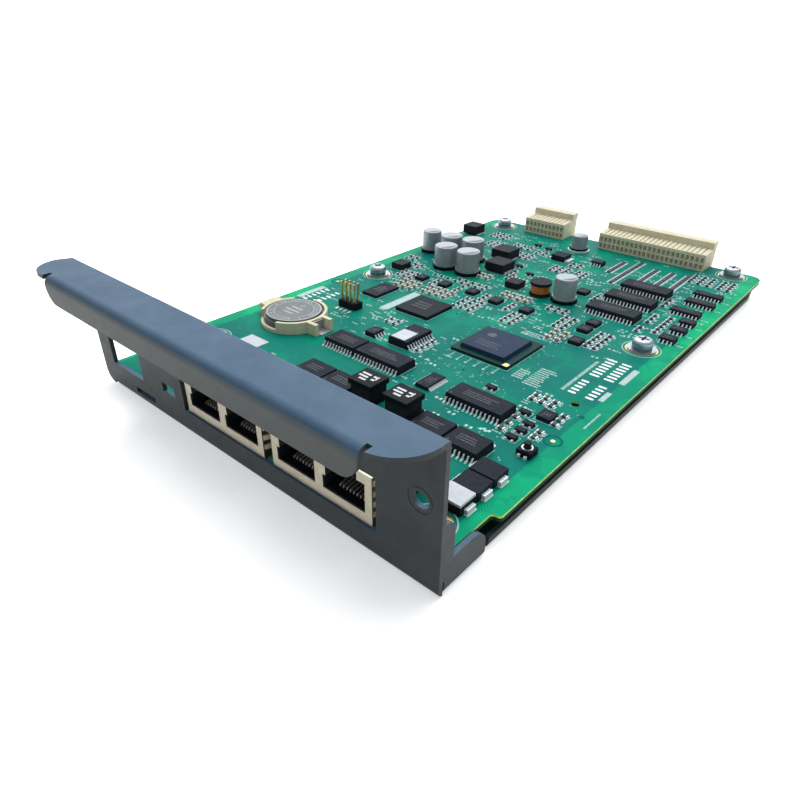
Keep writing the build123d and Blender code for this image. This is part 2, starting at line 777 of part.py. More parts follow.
# Regulator with a metal tab
with BuildPart() as regulator:
    blocks([regulator_place], 6.2, 6.0, 2.3, board_top)
with BuildPart() as regulator_legs:
    x, y = regulator_place
    blocks([(x + 3.1 + 0.9, y)], 1.8, 5.2, 0.7, board_top)
    blocks([(x - 3.1 - 0.8, y - 1.6), (x - 3.1 - 0.8, y + 1.6)], 1.6, 0.9, 0.7, board_top)

# Push switch: body, metal cover, plunger that travels down, four legs
switch_floor = board_top + switch_h - cover_t - plunger_travel - plunger_gap - 0.5
plunger_z = switch_floor + plunger_travel + plunger_gap
with BuildPart() as switch_body:
    blocks([switch_place], switch_w, switch_w, switch_h - cover_t, board_top)
    discs(
        [switch_place], plunger_r + 0.35 + plunger_gap,
        board_top + switch_h - switch_floor, switch_floor, Mode.SUBTRACT,
    )
with BuildPart() as switch_cover:
    discs([switch_place], cover_r, cover_t, board_top + switch_h - cover_t)
    discs([switch_place], cover_hole_r, 1, board_top + switch_h - 0.5, Mode.SUBTRACT)
with BuildPart() as switch_plunger:
    discs([switch_place], plunger_r + 0.35, 0.45, plunger_z)
    discs([switch_place], plunger_r, board_top + switch_h + plunger_h - plunger_z, plunger_z)
with BuildPart() as switch_legs:
    x, y = switch_place
    reach = switch_w / 2 + 0.35
    blocks([(x + s * 0.9, y + t * reach) for s in (-1, 1) for t in (-1, 1)], 0.7, 0.7, 0.8, board_top)

# Coin cell, its holder and the two contacts
cell_x, cell_y = cell_place
cell_z = board_top + holder_floor + 0.2
ring_in = cell_r + holder_clear
ring_out = ring_in + holder_wall
cheek_len = 4.6
cheek_w = 7.6
arm_w = 1.4
with BuildPart() as cell_holder:
    with BuildSketch(Plane.XY.offset(board_top)):
        with Locations(cell_place):
            Circle(ring_out)
            with Locations((ring_out + cheek_len / 2 - 1, 0), (-ring_out - cheek_len / 2 + 2, 0)):
                Rectangle(cheek_len, cheek_w)
    extrude(amount=holder_h)
    discs([cell_place], ring_in, holder_h, board_top + holder_floor, Mode.SUBTRACT)
    for turn in open_turns:
        with Locations(Location((cell_x, cell_y, board_top + holder_low + holder_h / 2), (0, 0, turn))):
            with Locations((ring_in + holder_wall / 2, 0, 0)):
                Box(holder_wall * 4, open_w, holder_h, mode=Mode.SUBTRACT)
    span_box(
        (cell_x + ring_out, cell_x + ring_out + cheek_len),
        (cell_y - cheek_w / 2 + arm_w, cell_y + cheek_w / 2 - arm_w),
        (board_top, board_top + holder_h), Mode.SUBTRACT,
    )
with BuildPart() as coin_cell:
    discs([cell_place], cell_r, cell_t * 0.7, cell_z)
    discs([cell_place], cell_r - 0.6, cell_t, cell_z)
with BuildPart() as cell_contacts:
    tongue = cheek_w - 2 * arm_w - 0.4
    span_box(
        (cell_x + ring_out + 0.2, cell_x + ring_out + cheek_len),
        (cell_y - tongue / 2, cell_y + tongue / 2), (board_top, board_top + 0.4),
    )
    span_box(
        (cell_x + ring_out + 0.2, cell_x + ring_out + 0.7),
        (cell_y - tongue / 2, cell_y + tongue / 2), (board_top, board_top + holder_h - 0.4),
    )
    span_box(
        (cell_x - 2.5, cell_x + 2.5), (cell_y - 1.5, cell_y + 1.5),
        (board_top + holder_floor, cell_z),
    )

# Pin header, two rows of four
header_w = 4 * header_pitch
header_d = 2 * header_pitch
with BuildPart() as header_base:
    blocks([header_place], header_w, header_d, header_h, board_top)
    with BuildSketch(Plane.XY.offset(board_top)):
        with Locations(header_place):
            with GridLocations(header_pitch, header_pitch, 4, 2):
                Rectangle(pin_w, pin_w)
    extrude(amount=header_h, mode=Mode.SUBTRACT)
with BuildPart() as header_pins:
    with BuildSketch(Plane.XY.offset(board_top)):
        with Locations(header_place):
            with GridLocations(header_pitch, header_pitch, 4, 2):
                Rectangle(pin_w, pin_w)
    extrude(amount=pin_top)

# Backplane connectors: a block on the board and a taller mating part over its rear edge
conn_sets = [(short_left, short_columns), (long_left, long_columns)]
conn_step_y = conn_y + conn_block_d
conn_back = conn_step_y + conn_rear_d


def column_centres(left, columns):
    """The middle of each column of contacts along X."""
    return [left + column_wall / 2 + (i + 0.5) * column_pitch for i in range(columns)]


with BuildPart() as backplane_connectors:
    for left, columns in conn_sets:
        right = left + columns * column_pitch + column_wall
        with BuildSketch(Plane.YZ.offset(left)) as side_view:
            with BuildLine():
                Polyline(
                    (conn_y, board_top), (conn_y, board_top + conn_block_h),
                    (conn_step_y, board_top + conn_block_h + conn_slope),
                    (conn_step_y, board_top + conn_h), (conn_back, board_top + conn_h),
                    (conn_back, board_top + conn_h - 1.0),
                    (conn_back - conn_lip, board_top + conn_h - 1.0 - conn_lip),
                    (conn_back - conn_lip, board_top - conn_drop),
                    (yr + 0.2, board_top - conn_drop), (yr + 0.2, board_top),
                    close=True,
                )
            make_face()
        extrude(side_view.sketch, amount=right - left)
        for x in column_centres(left, columns):
            for row in window_rows:
                span_box(
                    (x - window_w / 2, x + window_w / 2), (conn_y - 1, conn_y + window_depth),
                    (board_top + row, board_top + row + window_h), Mode.SUBTRACT,
                )
        for x in column_centres(left, columns)[1:]:
            edge = x - column_pitch / 2 - groove_w / 2
            with BuildSketch(Plane.YZ.offset(edge)) as groove:
                with BuildLine():
                    Polyline(
                        (conn_y - 1, board_top + conn_block_h - groove_depth),
                        (conn_step_y, board_top + conn_block_h + conn_slope - groove_depth),
                        (conn_step_y, board_top + conn_h), (conn_y - 1, board_top + conn_h),
                        close=True,
                    )
                make_face()
            extrude(groove.sketch, amount=groove_w, mode=Mode.SUBTRACT)
with BuildPart() as connector_blades:
    for left, columns in conn_sets:
        for x in column_centres(left, columns):
            for row in window_rows:
                span_box(
                    (x - blade_t / 2, x + blade_t / 2),
                    (conn_y + window_depth - 0.3, conn_y + window_depth),
                    (board_top + row, board_top + row + window_h),
                )

# Resistor networks in strips in front of the long connector
strip_places = [(xr - 49.2, 4), (xr - 43.3, 8), (xr - 35.2, 5), (xr - 28.6, 5), (xr - 22.6, 5)]
strip_front = [yr - 34.0, yr - 45.0, yr - 37.5, yr - 37.5, yr - 36.0]
with BuildPart() as resistor_networks:
    for (x, count), y in zip(strip_places, strip_front):
        blocks([(x, y + i * 4.0) for i in range(count)], 1.2, 3.7, 0.5, board_top)

# Small chip resistors, and the taller ceramic capacitors, in the fields where they stand
resistor_sets = [
    # centre x, centre y, columns, rows, pitch x, pitch y
    (xr - 18.3, 51.4, 1, 3, 2.0, 3.4), (xr - 17.0, 67.0, 3, 2, 2.9, 2.6),
    (xr - 9.0, 61.0, 1, 3, 2.0, 2.6), (xr - 10.0, 51.5, 1, 2, 2.0, 3.0),
    (xr - 61.5, 71.0, 1, 4, 2.0, 2.6), (xr - 81.5, 78.2, 2, 2, 3.2, 2.6),
    (xr - 71.5, 107.5, 3, 4, 3.2, 2.8), (xr - 53.0, 107.5, 2, 4, 3.2, 2.6),
    (xr - 22.8, 111.0, 2, 5, 3.0, 2.9),
    (xr - 37.8, 116.5, 2, 4, 3.0, 3.0), (xr - 96.0, 123.5, 3, 1, 3.2, 2.8),
    (xr - 82.5, 124.5, 5, 2, 3.2, 2.9),
    (xr - 77.5, 145.5, 1, 3, 3.2, 3.0),
    (xr - 70.5, 141.5, 2, 1, 3.4, 3.0), (xr - 62.5, 144.5, 2, 2, 3.2, 3.0),
    (xr - 17.0, 128.5, 1, 2, 3.0, 3.4), (xr - 17.0, 139.5, 1, 3, 3.0, 3.4),
    (xr - 12.0, 137.0, 1, 6, 3.0, 2.9), (xr - 18.6, 157.0, 1, 3, 3.0, 3.4),
    (xr - 17.0, yr - 20.5, 3, 4, 3.4, 2.8), (xr - 7.6, yr - 20.5, 2, 4, 3.2, 2.8),
    (xr - 92.0, yr - 31.5, 3, 2, 3.4, 2.9), (xr - 81.5, yr - 33.5, 2, 2, 3.4, 2.8),
    (xr - 62.5, yr - 38.0, 2, 2, 3.2, 2.8), (xr - 109.0, yr - 24.0, 3, 3, 3.4, 2.9),
    (xr - 119.5, 133.0, 2, 2, 3.4, 3.0), (xr - 111.5, 126.5, 2, 2, 3.4, 2.9),
    (xr - 107.6, 116.5, 3, 3, 3.0, 2.6), (xr - 45.0, 124.5, 3, 2, 2.9, 2.6),
    (xr - 94.0, 116.5, 1, 3, 2.9, 2.6), (xr - 83.0, 117.5, 1, 3, 2.9, 2.6),
    (xr - 71.0, 116.5, 1, 3, 2.9, 2.6), (xr - 59.0, 115.5, 1, 3, 2.9, 2.6),
    (xr - 104.0, yr - 37.0, 3, 3, 3.0, 2.6), (xr - 87.0, yr - 42.0, 4, 3, 2.9, 2.6),
    (xr - 65.0, yr - 47.0, 3, 3, 2.9, 2.6), (xr - 56.0, yr - 47.0, 2, 3, 2.9, 2.6),
    (xr - 75.5, yr - 68.0, 1, 3, 2.9, 2.6), (xr - 110.0, yr - 50.0, 3, 3, 2.9, 2.6),
    (xr - 40.0, yr - 66.0, 1, 3, 2.9, 2.6),
]
ceramic_sets = [
    (xr - 100.0, 107.5, 3, 3, 3.4, 2.9), (xr - 86.5, 109.0, 4, 3, 3.2, 2.8),
    (xr - 34.5, 105.5, 2, 3, 3.4, 3.0), (xr - 62.0, 124.5, 4, 2, 3.2, 2.9),
    (xr - 83.0, 134.5, 2, 2, 3.2, 2.8),
]
chip_len = 1.9
chip_w = 1.15
chip_h = 0.6
ceramic_h = 1.0
chip_end = 0.35
end_shift = (chip_len - chip_end) / 2


def chip_field(sets, places, length, height):
    """One piece of every chip in the fields, at the given places along the chip."""
    with BuildSketch(Plane.XY.offset(board_top)) as plan:
        for x, y, columns, rows, pitch_x, pitch_y in sets:
            with Locations((x, y)):
                with GridLocations(pitch_x, pitch_y, columns, rows):
                    with Locations(*[(place, 0) for place in places]):
                        Rectangle(length, chip_w)
    extrude(plan.sketch, amount=height)


with BuildPart() as chip_parts:
    chip_field(resistor_sets, [0], chip_len - 2 * chip_end, chip_h)
with BuildPart() as ceramic_parts:
    chip_field(ceramic_sets, [0], chip_len - 2 * chip_end, ceramic_h)
with BuildPart() as chip_ends:
    chip_field(resistor_sets, [-end_shift, end_shift], chip_end, chip_h)
    chip_field(ceramic_sets, [-end_shift, end_shift], chip_end, ceramic_h)

# Paper labels
label_t = 0.12
with BuildPart() as labels:
    blocks([(xr - 104.4, 36.8)], 8.6, 6.2, label_t, board_top)
    blocks([(xr - 68.6, 69.0)], 5.6, 6.6, label_t, board_top + wide_body_h)

nodes = dict(
    tray=tray, posts=posts, board=board, flat_washers=flat_washers,
    spring_washers=spring_washers, screws=screws, jack_shells=jack_shells,
    jack_inserts=jack_inserts, jack_wires=jack_wires, wide_chips=wide_chips,
    wide_chip_leads=wide_chip_leads, narrow_chips=narrow_chips,
    narrow_chip_leads=narrow_chip_leads, fine_chip=fine_chip,
    fine_chip_leads=fine_chip_leads, small_chips=small_chips, transistors=transistors,
    transistor_legs=transistor_legs, processor_base=processor_base,
    processor_lid=processor_lid, memory_chip=memory_chip, flash_chip=flash_chip,
    coil_packs=coil_packs, coil_windings=coil_windings,
    coil_pack_legs=coil_pack_legs, diodes=diodes,
    fuse_body=fuse_body, fuse_cap=fuse_cap, end_tabs=end_tabs,
    capacitor_bases=capacitor_bases, capacitor_cans=capacitor_cans, chokes=chokes,
    choke_feet=choke_feet, drum_core=drum_core, drum_winding=drum_winding,
    regulator=regulator, regulator_legs=regulator_legs, switch_body=switch_body,
    switch_cover=switch_cover, switch_plunger=switch_plunger, switch_legs=switch_legs,
    cell_holder=cell_holder, coin_cell=coin_cell, cell_contacts=cell_contacts,
    header_base=header_base, header_pins=header_pins,
    backplane_connectors=backplane_connectors, connector_blades=connector_blades,
    resistor_networks=resistor_networks, chip_parts=chip_parts,
    ceramic_parts=ceramic_parts, chip_ends=chip_ends, labels=labels,
)
for name, node in nodes.items():
    placed = node.part.moved(Location((0, -origin_y, 0)))
    placed.label = name
    export_step(placed, f"parts/{name}.step")
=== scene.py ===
import json
import math
import random

import bpy
from mathutils import Matrix, Vector


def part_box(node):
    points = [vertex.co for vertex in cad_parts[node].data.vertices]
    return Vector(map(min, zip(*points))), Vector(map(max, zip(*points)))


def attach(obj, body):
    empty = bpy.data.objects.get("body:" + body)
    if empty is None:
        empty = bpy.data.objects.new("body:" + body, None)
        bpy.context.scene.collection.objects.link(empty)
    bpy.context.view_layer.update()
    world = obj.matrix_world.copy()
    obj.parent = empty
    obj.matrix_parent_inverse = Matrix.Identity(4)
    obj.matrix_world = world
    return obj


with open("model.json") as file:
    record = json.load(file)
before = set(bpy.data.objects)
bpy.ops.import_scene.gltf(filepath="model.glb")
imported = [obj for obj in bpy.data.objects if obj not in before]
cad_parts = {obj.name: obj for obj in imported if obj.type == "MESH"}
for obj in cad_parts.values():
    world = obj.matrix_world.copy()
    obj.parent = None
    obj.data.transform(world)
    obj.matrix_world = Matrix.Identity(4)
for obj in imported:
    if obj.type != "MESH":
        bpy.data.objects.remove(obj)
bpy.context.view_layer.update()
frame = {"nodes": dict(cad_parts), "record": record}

bpy.ops.object.select_all(action="DESELECT")

# Lengths below are in millimetres and become metres here. Y counts from the panel's face.
MM = 0.001
HOOD_REACH = 11.3
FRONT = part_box("tray")[0].y / MM + HOOD_REACH
chance = random.Random(7)


def spot(x, y, z):
    """A place in millimetres as a point of the scene."""
    return Vector((x * MM, (y + FRONT) * MM, z * MM))


def top_of(node):
    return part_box(node)[1].z / MM


BOARD_TOP = top_of("board")
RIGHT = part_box("board")[1].x / MM
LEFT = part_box("board")[0].x / MM


# Finishes

def new_finish(name, colour, rough, metal=0.0):
    """A finish with one colour, and the nodes that a finish is dressed with."""
    finish = bpy.data.materials.new(name)
    finish.use_nodes = True
    tree = finish.node_tree
    shader = tree.nodes["Principled BSDF"]
    shader.inputs["Base Color"].default_value = (*colour, 1)
    shader.inputs["Roughness"].default_value = rough
    shader.inputs["Metallic"].default_value = metal
    return finish, tree, shader


def noise(tree, per_mm, detail=3.0):
    """Noise with a grain of so many per millimetre, laid in the part's own coordinates."""
    place = tree.nodes.new("ShaderNodeTexCoord")
    grain = tree.nodes.new("ShaderNodeTexNoise")
    grain.inputs["Scale"].default_value = per_mm / MM
    grain.inputs["Detail"].default_value = detail
    tree.links.new(place.outputs["Object"], grain.inputs["Vector"])
    return grain.outputs["Fac"]


def ramp(tree, value, *stops):
    """A colour ramp through stops of position and colour."""
    node = tree.nodes.new("ShaderNodeValToRGB")
    while len(node.color_ramp.elements) < len(stops):
        node.color_ramp.elements.new(0.5)
    for element, (position, colour) in zip(node.color_ramp.elements, stops):
        element.position = position
        element.color = (*colour, 1)
    tree.links.new(value, node.inputs["Fac"])
    return node.outputs["Color"]


def sums(tree, operation, a, b=None):
    """One step of arithmetic on two values, each a number or a node's output."""
    node = tree.nodes.new("ShaderNodeMath")
    node.operation = operation
    for socket, value in zip(node.inputs, (a, b)):
        if value is None:
            continue
        if isinstance(value, (int, float)):
            socket.default_value = value
        else:
            tree.links.new(value, socket)
    return node.outputs["Value"]


def blend_colours(tree, share, one, two):
    """Colour one where the share is 0 and colour two where it is 1."""
    node = tree.nodes.new("ShaderNodeMix")
    node.data_type = "RGBA"
    tree.links.new(share, node.inputs[0])
    for socket, value in ((node.inputs[6], one), (node.inputs[7], two)):
        if isinstance(value, tuple):
            socket.default_value = (*value, 1)
        else:
            tree.links.new(value, socket)
    return node.outputs[2]


def own_axes(tree):
    """The part's own coordinates, split into X, Y and Z."""
    place = tree.nodes.new("ShaderNodeTexCoord")
    axes = tree.nodes.new("ShaderNodeSeparateXYZ")
    tree.links.new(place.outputs["Object"], axes.inputs["Vector"])
    return place, axes


def facing(tree, axis):
    """How far a face looks up or down one axis, from -1 to 1."""
    face = tree.nodes.new("ShaderNodeNewGeometry")
    split = tree.nodes.new("ShaderNodeSeparateXYZ")
    tree.links.new(face.outputs["Normal"], split.inputs["Vector"])
    return split.outputs[axis]


def uneven(tree, shader, low, high, per_mm):
    """Roughness that drifts between two values."""
    spread = tree.nodes.new("ShaderNodeMapRange")
    spread.inputs["To Min"].default_value = low
    spread.inputs["To Max"].default_value = high
    tree.links.new(noise(tree, per_mm), spread.inputs["Value"])
    tree.links.new(spread.outputs["Result"], shader.inputs["Roughness"])


def bumpy(tree, shader, height, depth, strength):
    """A fine relief of so many millimetres."""
    bump = tree.nodes.new("ShaderNodeBump")
    bump.inputs["Strength"].default_value = strength
    bump.inputs["Distance"].default_value = depth * MM
    tree.links.new(height, bump.inputs["Height"])
    tree.links.new(bump.outputs["Normal"], shader.inputs["Normal"])


def moulded(name, colour, other, rough=(0.35, 0.55), per_mm=1.5, shine=0.1):
    """Moulded plastic: a faint cloud of a second tone and the fine texture of the mould."""
    finish, tree, shader = new_finish(name, colour, rough[0])
    cloud = ramp(tree, noise(tree, per_mm, 4), (0.35, colour), (0.7, other))
    tree.links.new(cloud, shader.inputs["Base Color"])
    uneven(tree, shader, *rough, per_mm)
    shader.inputs["IOR"].default_value = 1.3
    shader.inputs["Specular IOR Level"].default_value = shine
    bumpy(tree, shader, noise(tree, 9, 2), 0.03, 0.35)
    return finish


def plated(name, colour, other, rough=(0.2, 0.4), per_mm=2.0, metal=1.0):
    """Plated or bare metal: slight changes of tone and polish."""
    finish, tree, shader = new_finish(name, colour, rough[0], metal)
    cloud = ramp(tree, noise(tree, per_mm, 4), (0.3, colour), (0.75, other))
    tree.links.new(cloud, shader.inputs["Base Color"])
    uneven(tree, shader, *rough, per_mm * 2)
    bumpy(tree, shader, noise(tree, 6, 2), 0.02, 0.25)
    return finish


def label_paper(name, colour, other):
    """Paper, paint or ink: matt, with a faint cloud of a second tone."""
    finish, tree, shader = new_finish(name, colour, 0.6)
    cloud = ramp(tree, noise(tree, 0.7, 4), (0.35, colour), (0.7, other))
    tree.links.new(cloud, shader.inputs["Base Color"])
    uneven(tree, shader, 0.5, 0.7, 1.0)
    return finish


def tray_paint():
    """Dark powder coat with orange peel, and painted light: a paler, bluer painted sheen on faces that
    look up, painted shade on the right flange behind the panel, and a lip painted warmer and paler the
    higher it stands, so darker towards the foot.
    """
    # lit and shaded copies of the paint: the top tones carry a painted sheen, the side tones painted
    # shade
    shaded_side_dark, shaded_side_pale = (0.018, 0.024, 0.026), (0.032, 0.039, 0.041)
    lit_top_dark, lit_top_pale = (0.036, 0.084, 0.144), (0.056, 0.112, 0.184)
    lit_lip_warm, flange_painted_shade, speck_pale = (0.062, 0.068, 0.064), (0.006, 0.008, 0.007), (0.15, 0.20, 0.25)
    lip_from, flange_from, hood_top = 10.85, 16.0, 36
    finish, tree, shader = new_finish("tray_paint", shaded_side_dark, 0.42)
    cloud = noise(tree, 0.12, 5)
    top = ramp(tree, cloud, (0.3, lit_top_dark), (0.75, lit_top_pale))
    side = ramp(tree, cloud, (0.3, shaded_side_dark), (0.75, shaded_side_pale))

    # the lip catches warmer light the higher it stands
    _, axes = own_axes(tree)
    rise = tree.nodes.new("ShaderNodeMapRange")
    rise.inputs["From Max"].default_value = hood_top * MM
    rise.inputs["To Min"].default_value = 0.0
    rise.inputs["To Max"].default_value = 1.0
    tree.links.new(axes.outputs["Z"], rise.inputs["Value"])
    lit_lip = blend_colours(tree, sums(tree, "MULTIPLY", rise.outputs["Result"], 0.9), side, lit_lip_warm)
    lip = sums(tree, "LESS_THAN", axes.outputs["Y"], (FRONT - lip_from) * MM)
    side = blend_colours(tree, lip, side, lit_lip)

    # painted shade on the right flange, which lies in the board's shade, and a painted blue sheen on
    # the hood's top
    right = sums(tree, "MAXIMUM", facing(tree, "X"), 0.0)
    behind = sums(tree, "GREATER_THAN", axes.outputs["Y"], (FRONT + flange_from) * MM)
    side = blend_colours(tree, sums(tree, "MULTIPLY", right, behind), side, flange_painted_shade)
    # painted sheen on the faces that look up, in front of the flange
    up = sums(tree, "MAXIMUM", facing(tree, "Z"), 0.0)
    up = sums(tree, "MULTIPLY", up, sums(tree, "SUBTRACT", 1.0, behind))
    base = blend_colours(tree, sums(tree, "POWER", up, 1.5), side, top)

    specks = ramp(tree, noise(tree, 5.0, 2), (0.62, (0, 0, 0)), (0.78, (1, 1, 1)))
    colour = blend_colours(tree, sums(tree, "MULTIPLY", specks, 0.22), base, speck_pale)
    tree.links.new(colour, shader.inputs["Base Color"])
    uneven(tree, shader, 0.4, 0.55, 0.4)
    bumpy(tree, shader, noise(tree, 3.2, 3), 0.05, 0.35)
    shader.inputs["Specular IOR Level"].default_value = 0.18
    return finish


def track_lines(tree, axes, which):
    """Thin copper tracks along X, Y or a slant, by the zone of the board they lie in."""
    pitch, width = 0.00033, 0.00014
    across, along = axes.outputs["X"], axes.outputs["Y"]
    slant = sums(tree, "MULTIPLY", sums(tree, "ADD", across, along), 0.707)
    tracks = None
    for line, low, high in ((across, 0.0, 0.38), (along, 0.38, 0.7), (slant, 0.7, 1.0)):
        comb = sums(tree, "PINGPONG", line, pitch)
        on = sums(tree, "LESS_THAN", comb, width)
        above, below = sums(tree, "GREATER_THAN", which, low), sums(tree, "LESS_THAN", which, high)
        piece = sums(tree, "MULTIPLY", on, sums(tree, "MULTIPLY", above, below))
        tracks = piece if tracks is None else sums(tree, "MAXIMUM", tracks, piece)
    bundled = sums(tree, "GREATER_THAN", noise(tree, 0.11, 2), 0.5)
    return sums(tree, "MULTIPLY", tracks, bundled)


def board_mask():
    """Green solder mask over copper: zones of copper, bundles of tracks, and a cut edge in its own pale
    tone with a painted highlight at its top and painted shade below.
    """
    bright, middle = (0.0, 0.380, 0.165), (0.0, 0.235, 0.145)
    dull, deep = (0.003, 0.190, 0.135), (0.0, 0.120, 0.112)
    # painted shade for the cut edge below its arris
    edge_painted_shade = (0.006, 0.035, 0.014)
    border_right, border_left, arris = 5.5, 5.0, 0.6
    finish, tree, shader = new_finish("board_mask", bright, 0.3)
    place, axes = own_axes(tree)
    zone = tree.nodes.new("ShaderNodeTexVoronoi")
    zone.distance = "CHEBYCHEV"
    zone.inputs["Scale"].default_value = 85
    tree.links.new(place.outputs["Object"], zone.inputs["Vector"])
    pick = tree.nodes.new("ShaderNodeSeparateColor")
    tree.links.new(zone.outputs["Color"], pick.inputs["Color"])
    tracks = track_lines(tree, axes, pick.outputs["Red"])

    # a bright border at both sides, and copper in most zones between them
    across = axes.outputs["X"]
    inner = sums(tree, "LESS_THAN", across, (RIGHT - border_right) * MM)
    past_left = sums(tree, "GREATER_THAN", across, (LEFT + border_left) * MM)
    inner = sums(tree, "MULTIPLY", inner, past_left)
    filled = sums(tree, "GREATER_THAN", pick.outputs["Green"], 0.3)
    base = blend_colours(tree, filled, middle, dull)
    base = blend_colours(tree, inner, bright, base)
    patch = ramp(tree, noise(tree, 0.045, 3), (0.42, (0, 0, 0)), (0.6, (1, 1, 1)))
    base = blend_colours(tree, sums(tree, "MULTIPLY", patch, 0.45), base, deep)
    colour = blend_colours(tree, sums(tree, "MULTIPLY", tracks, 0.55), base, deep)

    # the cut edge: its own pale yellow-green with a painted highlight at the top arris, and painted
    # shade below it
    side = sums(tree, "LESS_THAN", sums(tree, "ABSOLUTE", facing(tree, "Z")), 0.5)
    lit = sums(tree, "GREATER_THAN", axes.outputs["Z"], (BOARD_TOP - arris) * MM)
    edge_tone_and_highlight = ramp(tree, noise(tree, 0.9, 3), (0.35, (0.24, 0.50, 0.10)), (0.7, (0.50, 0.66, 0.20)))
    rim = blend_colours(tree, lit, edge_painted_shade, edge_tone_and_highlight)
    colour = blend_colours(tree, side, colour, rim)
    tree.links.new(colour, shader.inputs["Base Color"])
    uneven(tree, shader, 0.35, 0.5, 0.3)
    shader.inputs["IOR"].default_value = 1.22
    shader.inputs["Specular IOR Level"].default_value = 0.1
    bumpy(tree, shader, sums(tree, "ADD", tracks, noise(tree, 1.5, 2)), 0.03, 0.3)
    return finish


def cell_steel():
    """Stainless cell cap, brushed in rings round its middle."""
    low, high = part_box("coin_cell")
    middle = (low + high) / 2
    finish, tree, shader = new_finish("cell_steel", (0.11, 0.13, 0.13), 0.4, 0.35)
    place = tree.nodes.new("ShaderNodeTexCoord")
    centre = tree.nodes.new("ShaderNodeMapping")
    centre.inputs["Location"].default_value = (-middle.x, -middle.y, 0)
    tree.links.new(place.outputs["Object"], centre.inputs["Vector"])
    rings = tree.nodes.new("ShaderNodeTexWave")
    rings.wave_type = "RINGS"
    rings.rings_direction = "Z"
    rings.inputs["Scale"].default_value = 700
    rings.inputs["Distortion"].default_value = 3.0
    tree.links.new(centre.outputs["Vector"], rings.inputs["Vector"])
    tone = ramp(tree, noise(tree, 0.5, 4), (0.3, (0.085, 0.10, 0.105)), (0.7, (0.13, 0.15, 0.15)))
    tree.links.new(tone, shader.inputs["Base Color"])
    uneven(tree, shader, 0.38, 0.55, 0.8)
    bumpy(tree, shader, rings.outputs["Fac"], 0.03, 0.15)
    return finish


def shaded_sides(finish, painted_shade_colour):
    """Turns the faces that look straight along X, which stand in the window's gap, dark with painted
    shade.
    """
    tree = finish.node_tree
    shader = tree.nodes["Principled BSDF"]
    front = shader.inputs["Base Color"].links[0].from_socket
    flat = sums(tree, "GREATER_THAN", sums(tree, "ABSOLUTE", facing(tree, "X")), 0.97)
    shaded = blend_colours(tree, flat, front, painted_shade_colour)
    tree.links.new(shaded, shader.inputs["Base Color"])


# Each finish is made of two tones, the spread of its roughness and, where it differs from
# the usual, the grain per millimetre and the share of metal.
finishes = {
    "tray_paint": tray_paint(),
    "board_green": board_mask(),
    "post_steel": plated("post_steel", (0.50, 0.51, 0.52), (0.40, 0.41, 0.42), (0.3, 0.5)),
    "screw_steel": plated("screw_steel", (0.42, 0.46, 0.52), (0.33, 0.37, 0.43), (0.25, 0.4)),
    "shell_metal": plated(
        "shell_metal", (0.52, 0.47, 0.36), (0.42, 0.38, 0.28), (0.3, 0.45), 0.6, 0.55),
    "black_plastic": moulded(
        "black_plastic", (0.006, 0.007, 0.010), (0.012, 0.014, 0.019), (0.4, 0.55)),
    "chip_plastic": moulded(
        "chip_plastic", (0.010, 0.014, 0.022), (0.018, 0.024, 0.035), (0.42, 0.6)),
    "tinned": plated("tinned", (0.70, 0.75, 0.78), (0.56, 0.61, 0.64), (0.3, 0.45), 2.0, 0.2),
    "gold": plated("gold", (0.80, 0.60, 0.26), (0.66, 0.47, 0.18), (0.2, 0.36)),
    "substrate": moulded("substrate", (0.006, 0.035, 0.034), (0.010, 0.05, 0.045), (0.35, 0.5)),
    "lid_metal": moulded(
        "lid_metal", (0.012, 0.028, 0.062), (0.018, 0.038, 0.078), (0.36, 0.5), 0.5),
    "white_plastic": label_paper("white_plastic", (0.50, 0.53, 0.58), (0.42, 0.45, 0.50)),
    "can_aluminium": plated(
        "can_aluminium", (0.33, 0.36, 0.39), (0.26, 0.29, 0.32), (0.38, 0.5), 0.8, 0.45),
    "ceramic": moulded("ceramic", (0.27, 0.20, 0.12), (0.38, 0.30, 0.20), (0.4, 0.6), 0.8),
    "ferrite": moulded("ferrite", (0.012, 0.014, 0.020), (0.024, 0.027, 0.034), (0.4, 0.6)),
    "copper": plated("copper", (0.50, 0.14, 0.02), (0.62, 0.24, 0.05), (0.25, 0.4), 3.0, 0.5),
    "cover_metal": plated(
        "cover_metal", (0.40, 0.42, 0.43), (0.30, 0.32, 0.33), (0.3, 0.45), 2.0, 0.6),
    "plunger_plastic": moulded(
        "plunger_plastic", (0.01, 0.01, 0.011), (0.02, 0.02, 0.022), (0.35, 0.5)),
    "beige_plastic": moulded(
        "beige_plastic", (0.64, 0.60, 0.44), (0.57, 0.53, 0.38), (0.42, 0.6), 0.4),
    "cell_steel": cell_steel(),
    "resistor_body": moulded(
        "resistor_body", (0.045, 0.058, 0.066), (0.085, 0.10, 0.11), (0.3, 0.5), 1.0),
}
silk_white = label_paper("silk_white", (0.36, 0.50, 0.48), (0.26, 0.40, 0.38))
mark_grey = label_paper("mark_grey", (0.028, 0.033, 0.044), (0.020, 0.025, 0.035))
print_white = label_paper("print_white", (0.62, 0.64, 0.66), (0.5, 0.52, 0.54))
# painted shade on the jack shells' sides that stand in the window's gap
shaded_sides(finishes["shell_metal"], (0.05, 0.048, 0.04))
tone_of = {
    "jack_wires": plated(
        "wire_metal", (0.34, 0.32, 0.27), (0.24, 0.22, 0.18), (0.3, 0.45), 2.0, 0.5),
    "spring_washers": plated(
        "washer_dark", (0.22, 0.24, 0.27), (0.15, 0.17, 0.20), (0.3, 0.45)),
    "connector_blades": plated(
        "blade_metal", (0.36, 0.33, 0.22), (0.30, 0.27, 0.18), (0.4, 0.55), 2.0, 0.1),
}

slot_of = {part["node"]: part["material_slot"] for part in frame["record"]["subparts"]}
for node, thing in frame["nodes"].items():
    thing.data.materials.clear()
    thing.data.materials.append(tone_of.get(node, finishes[slot_of[node]]))


# Shapes

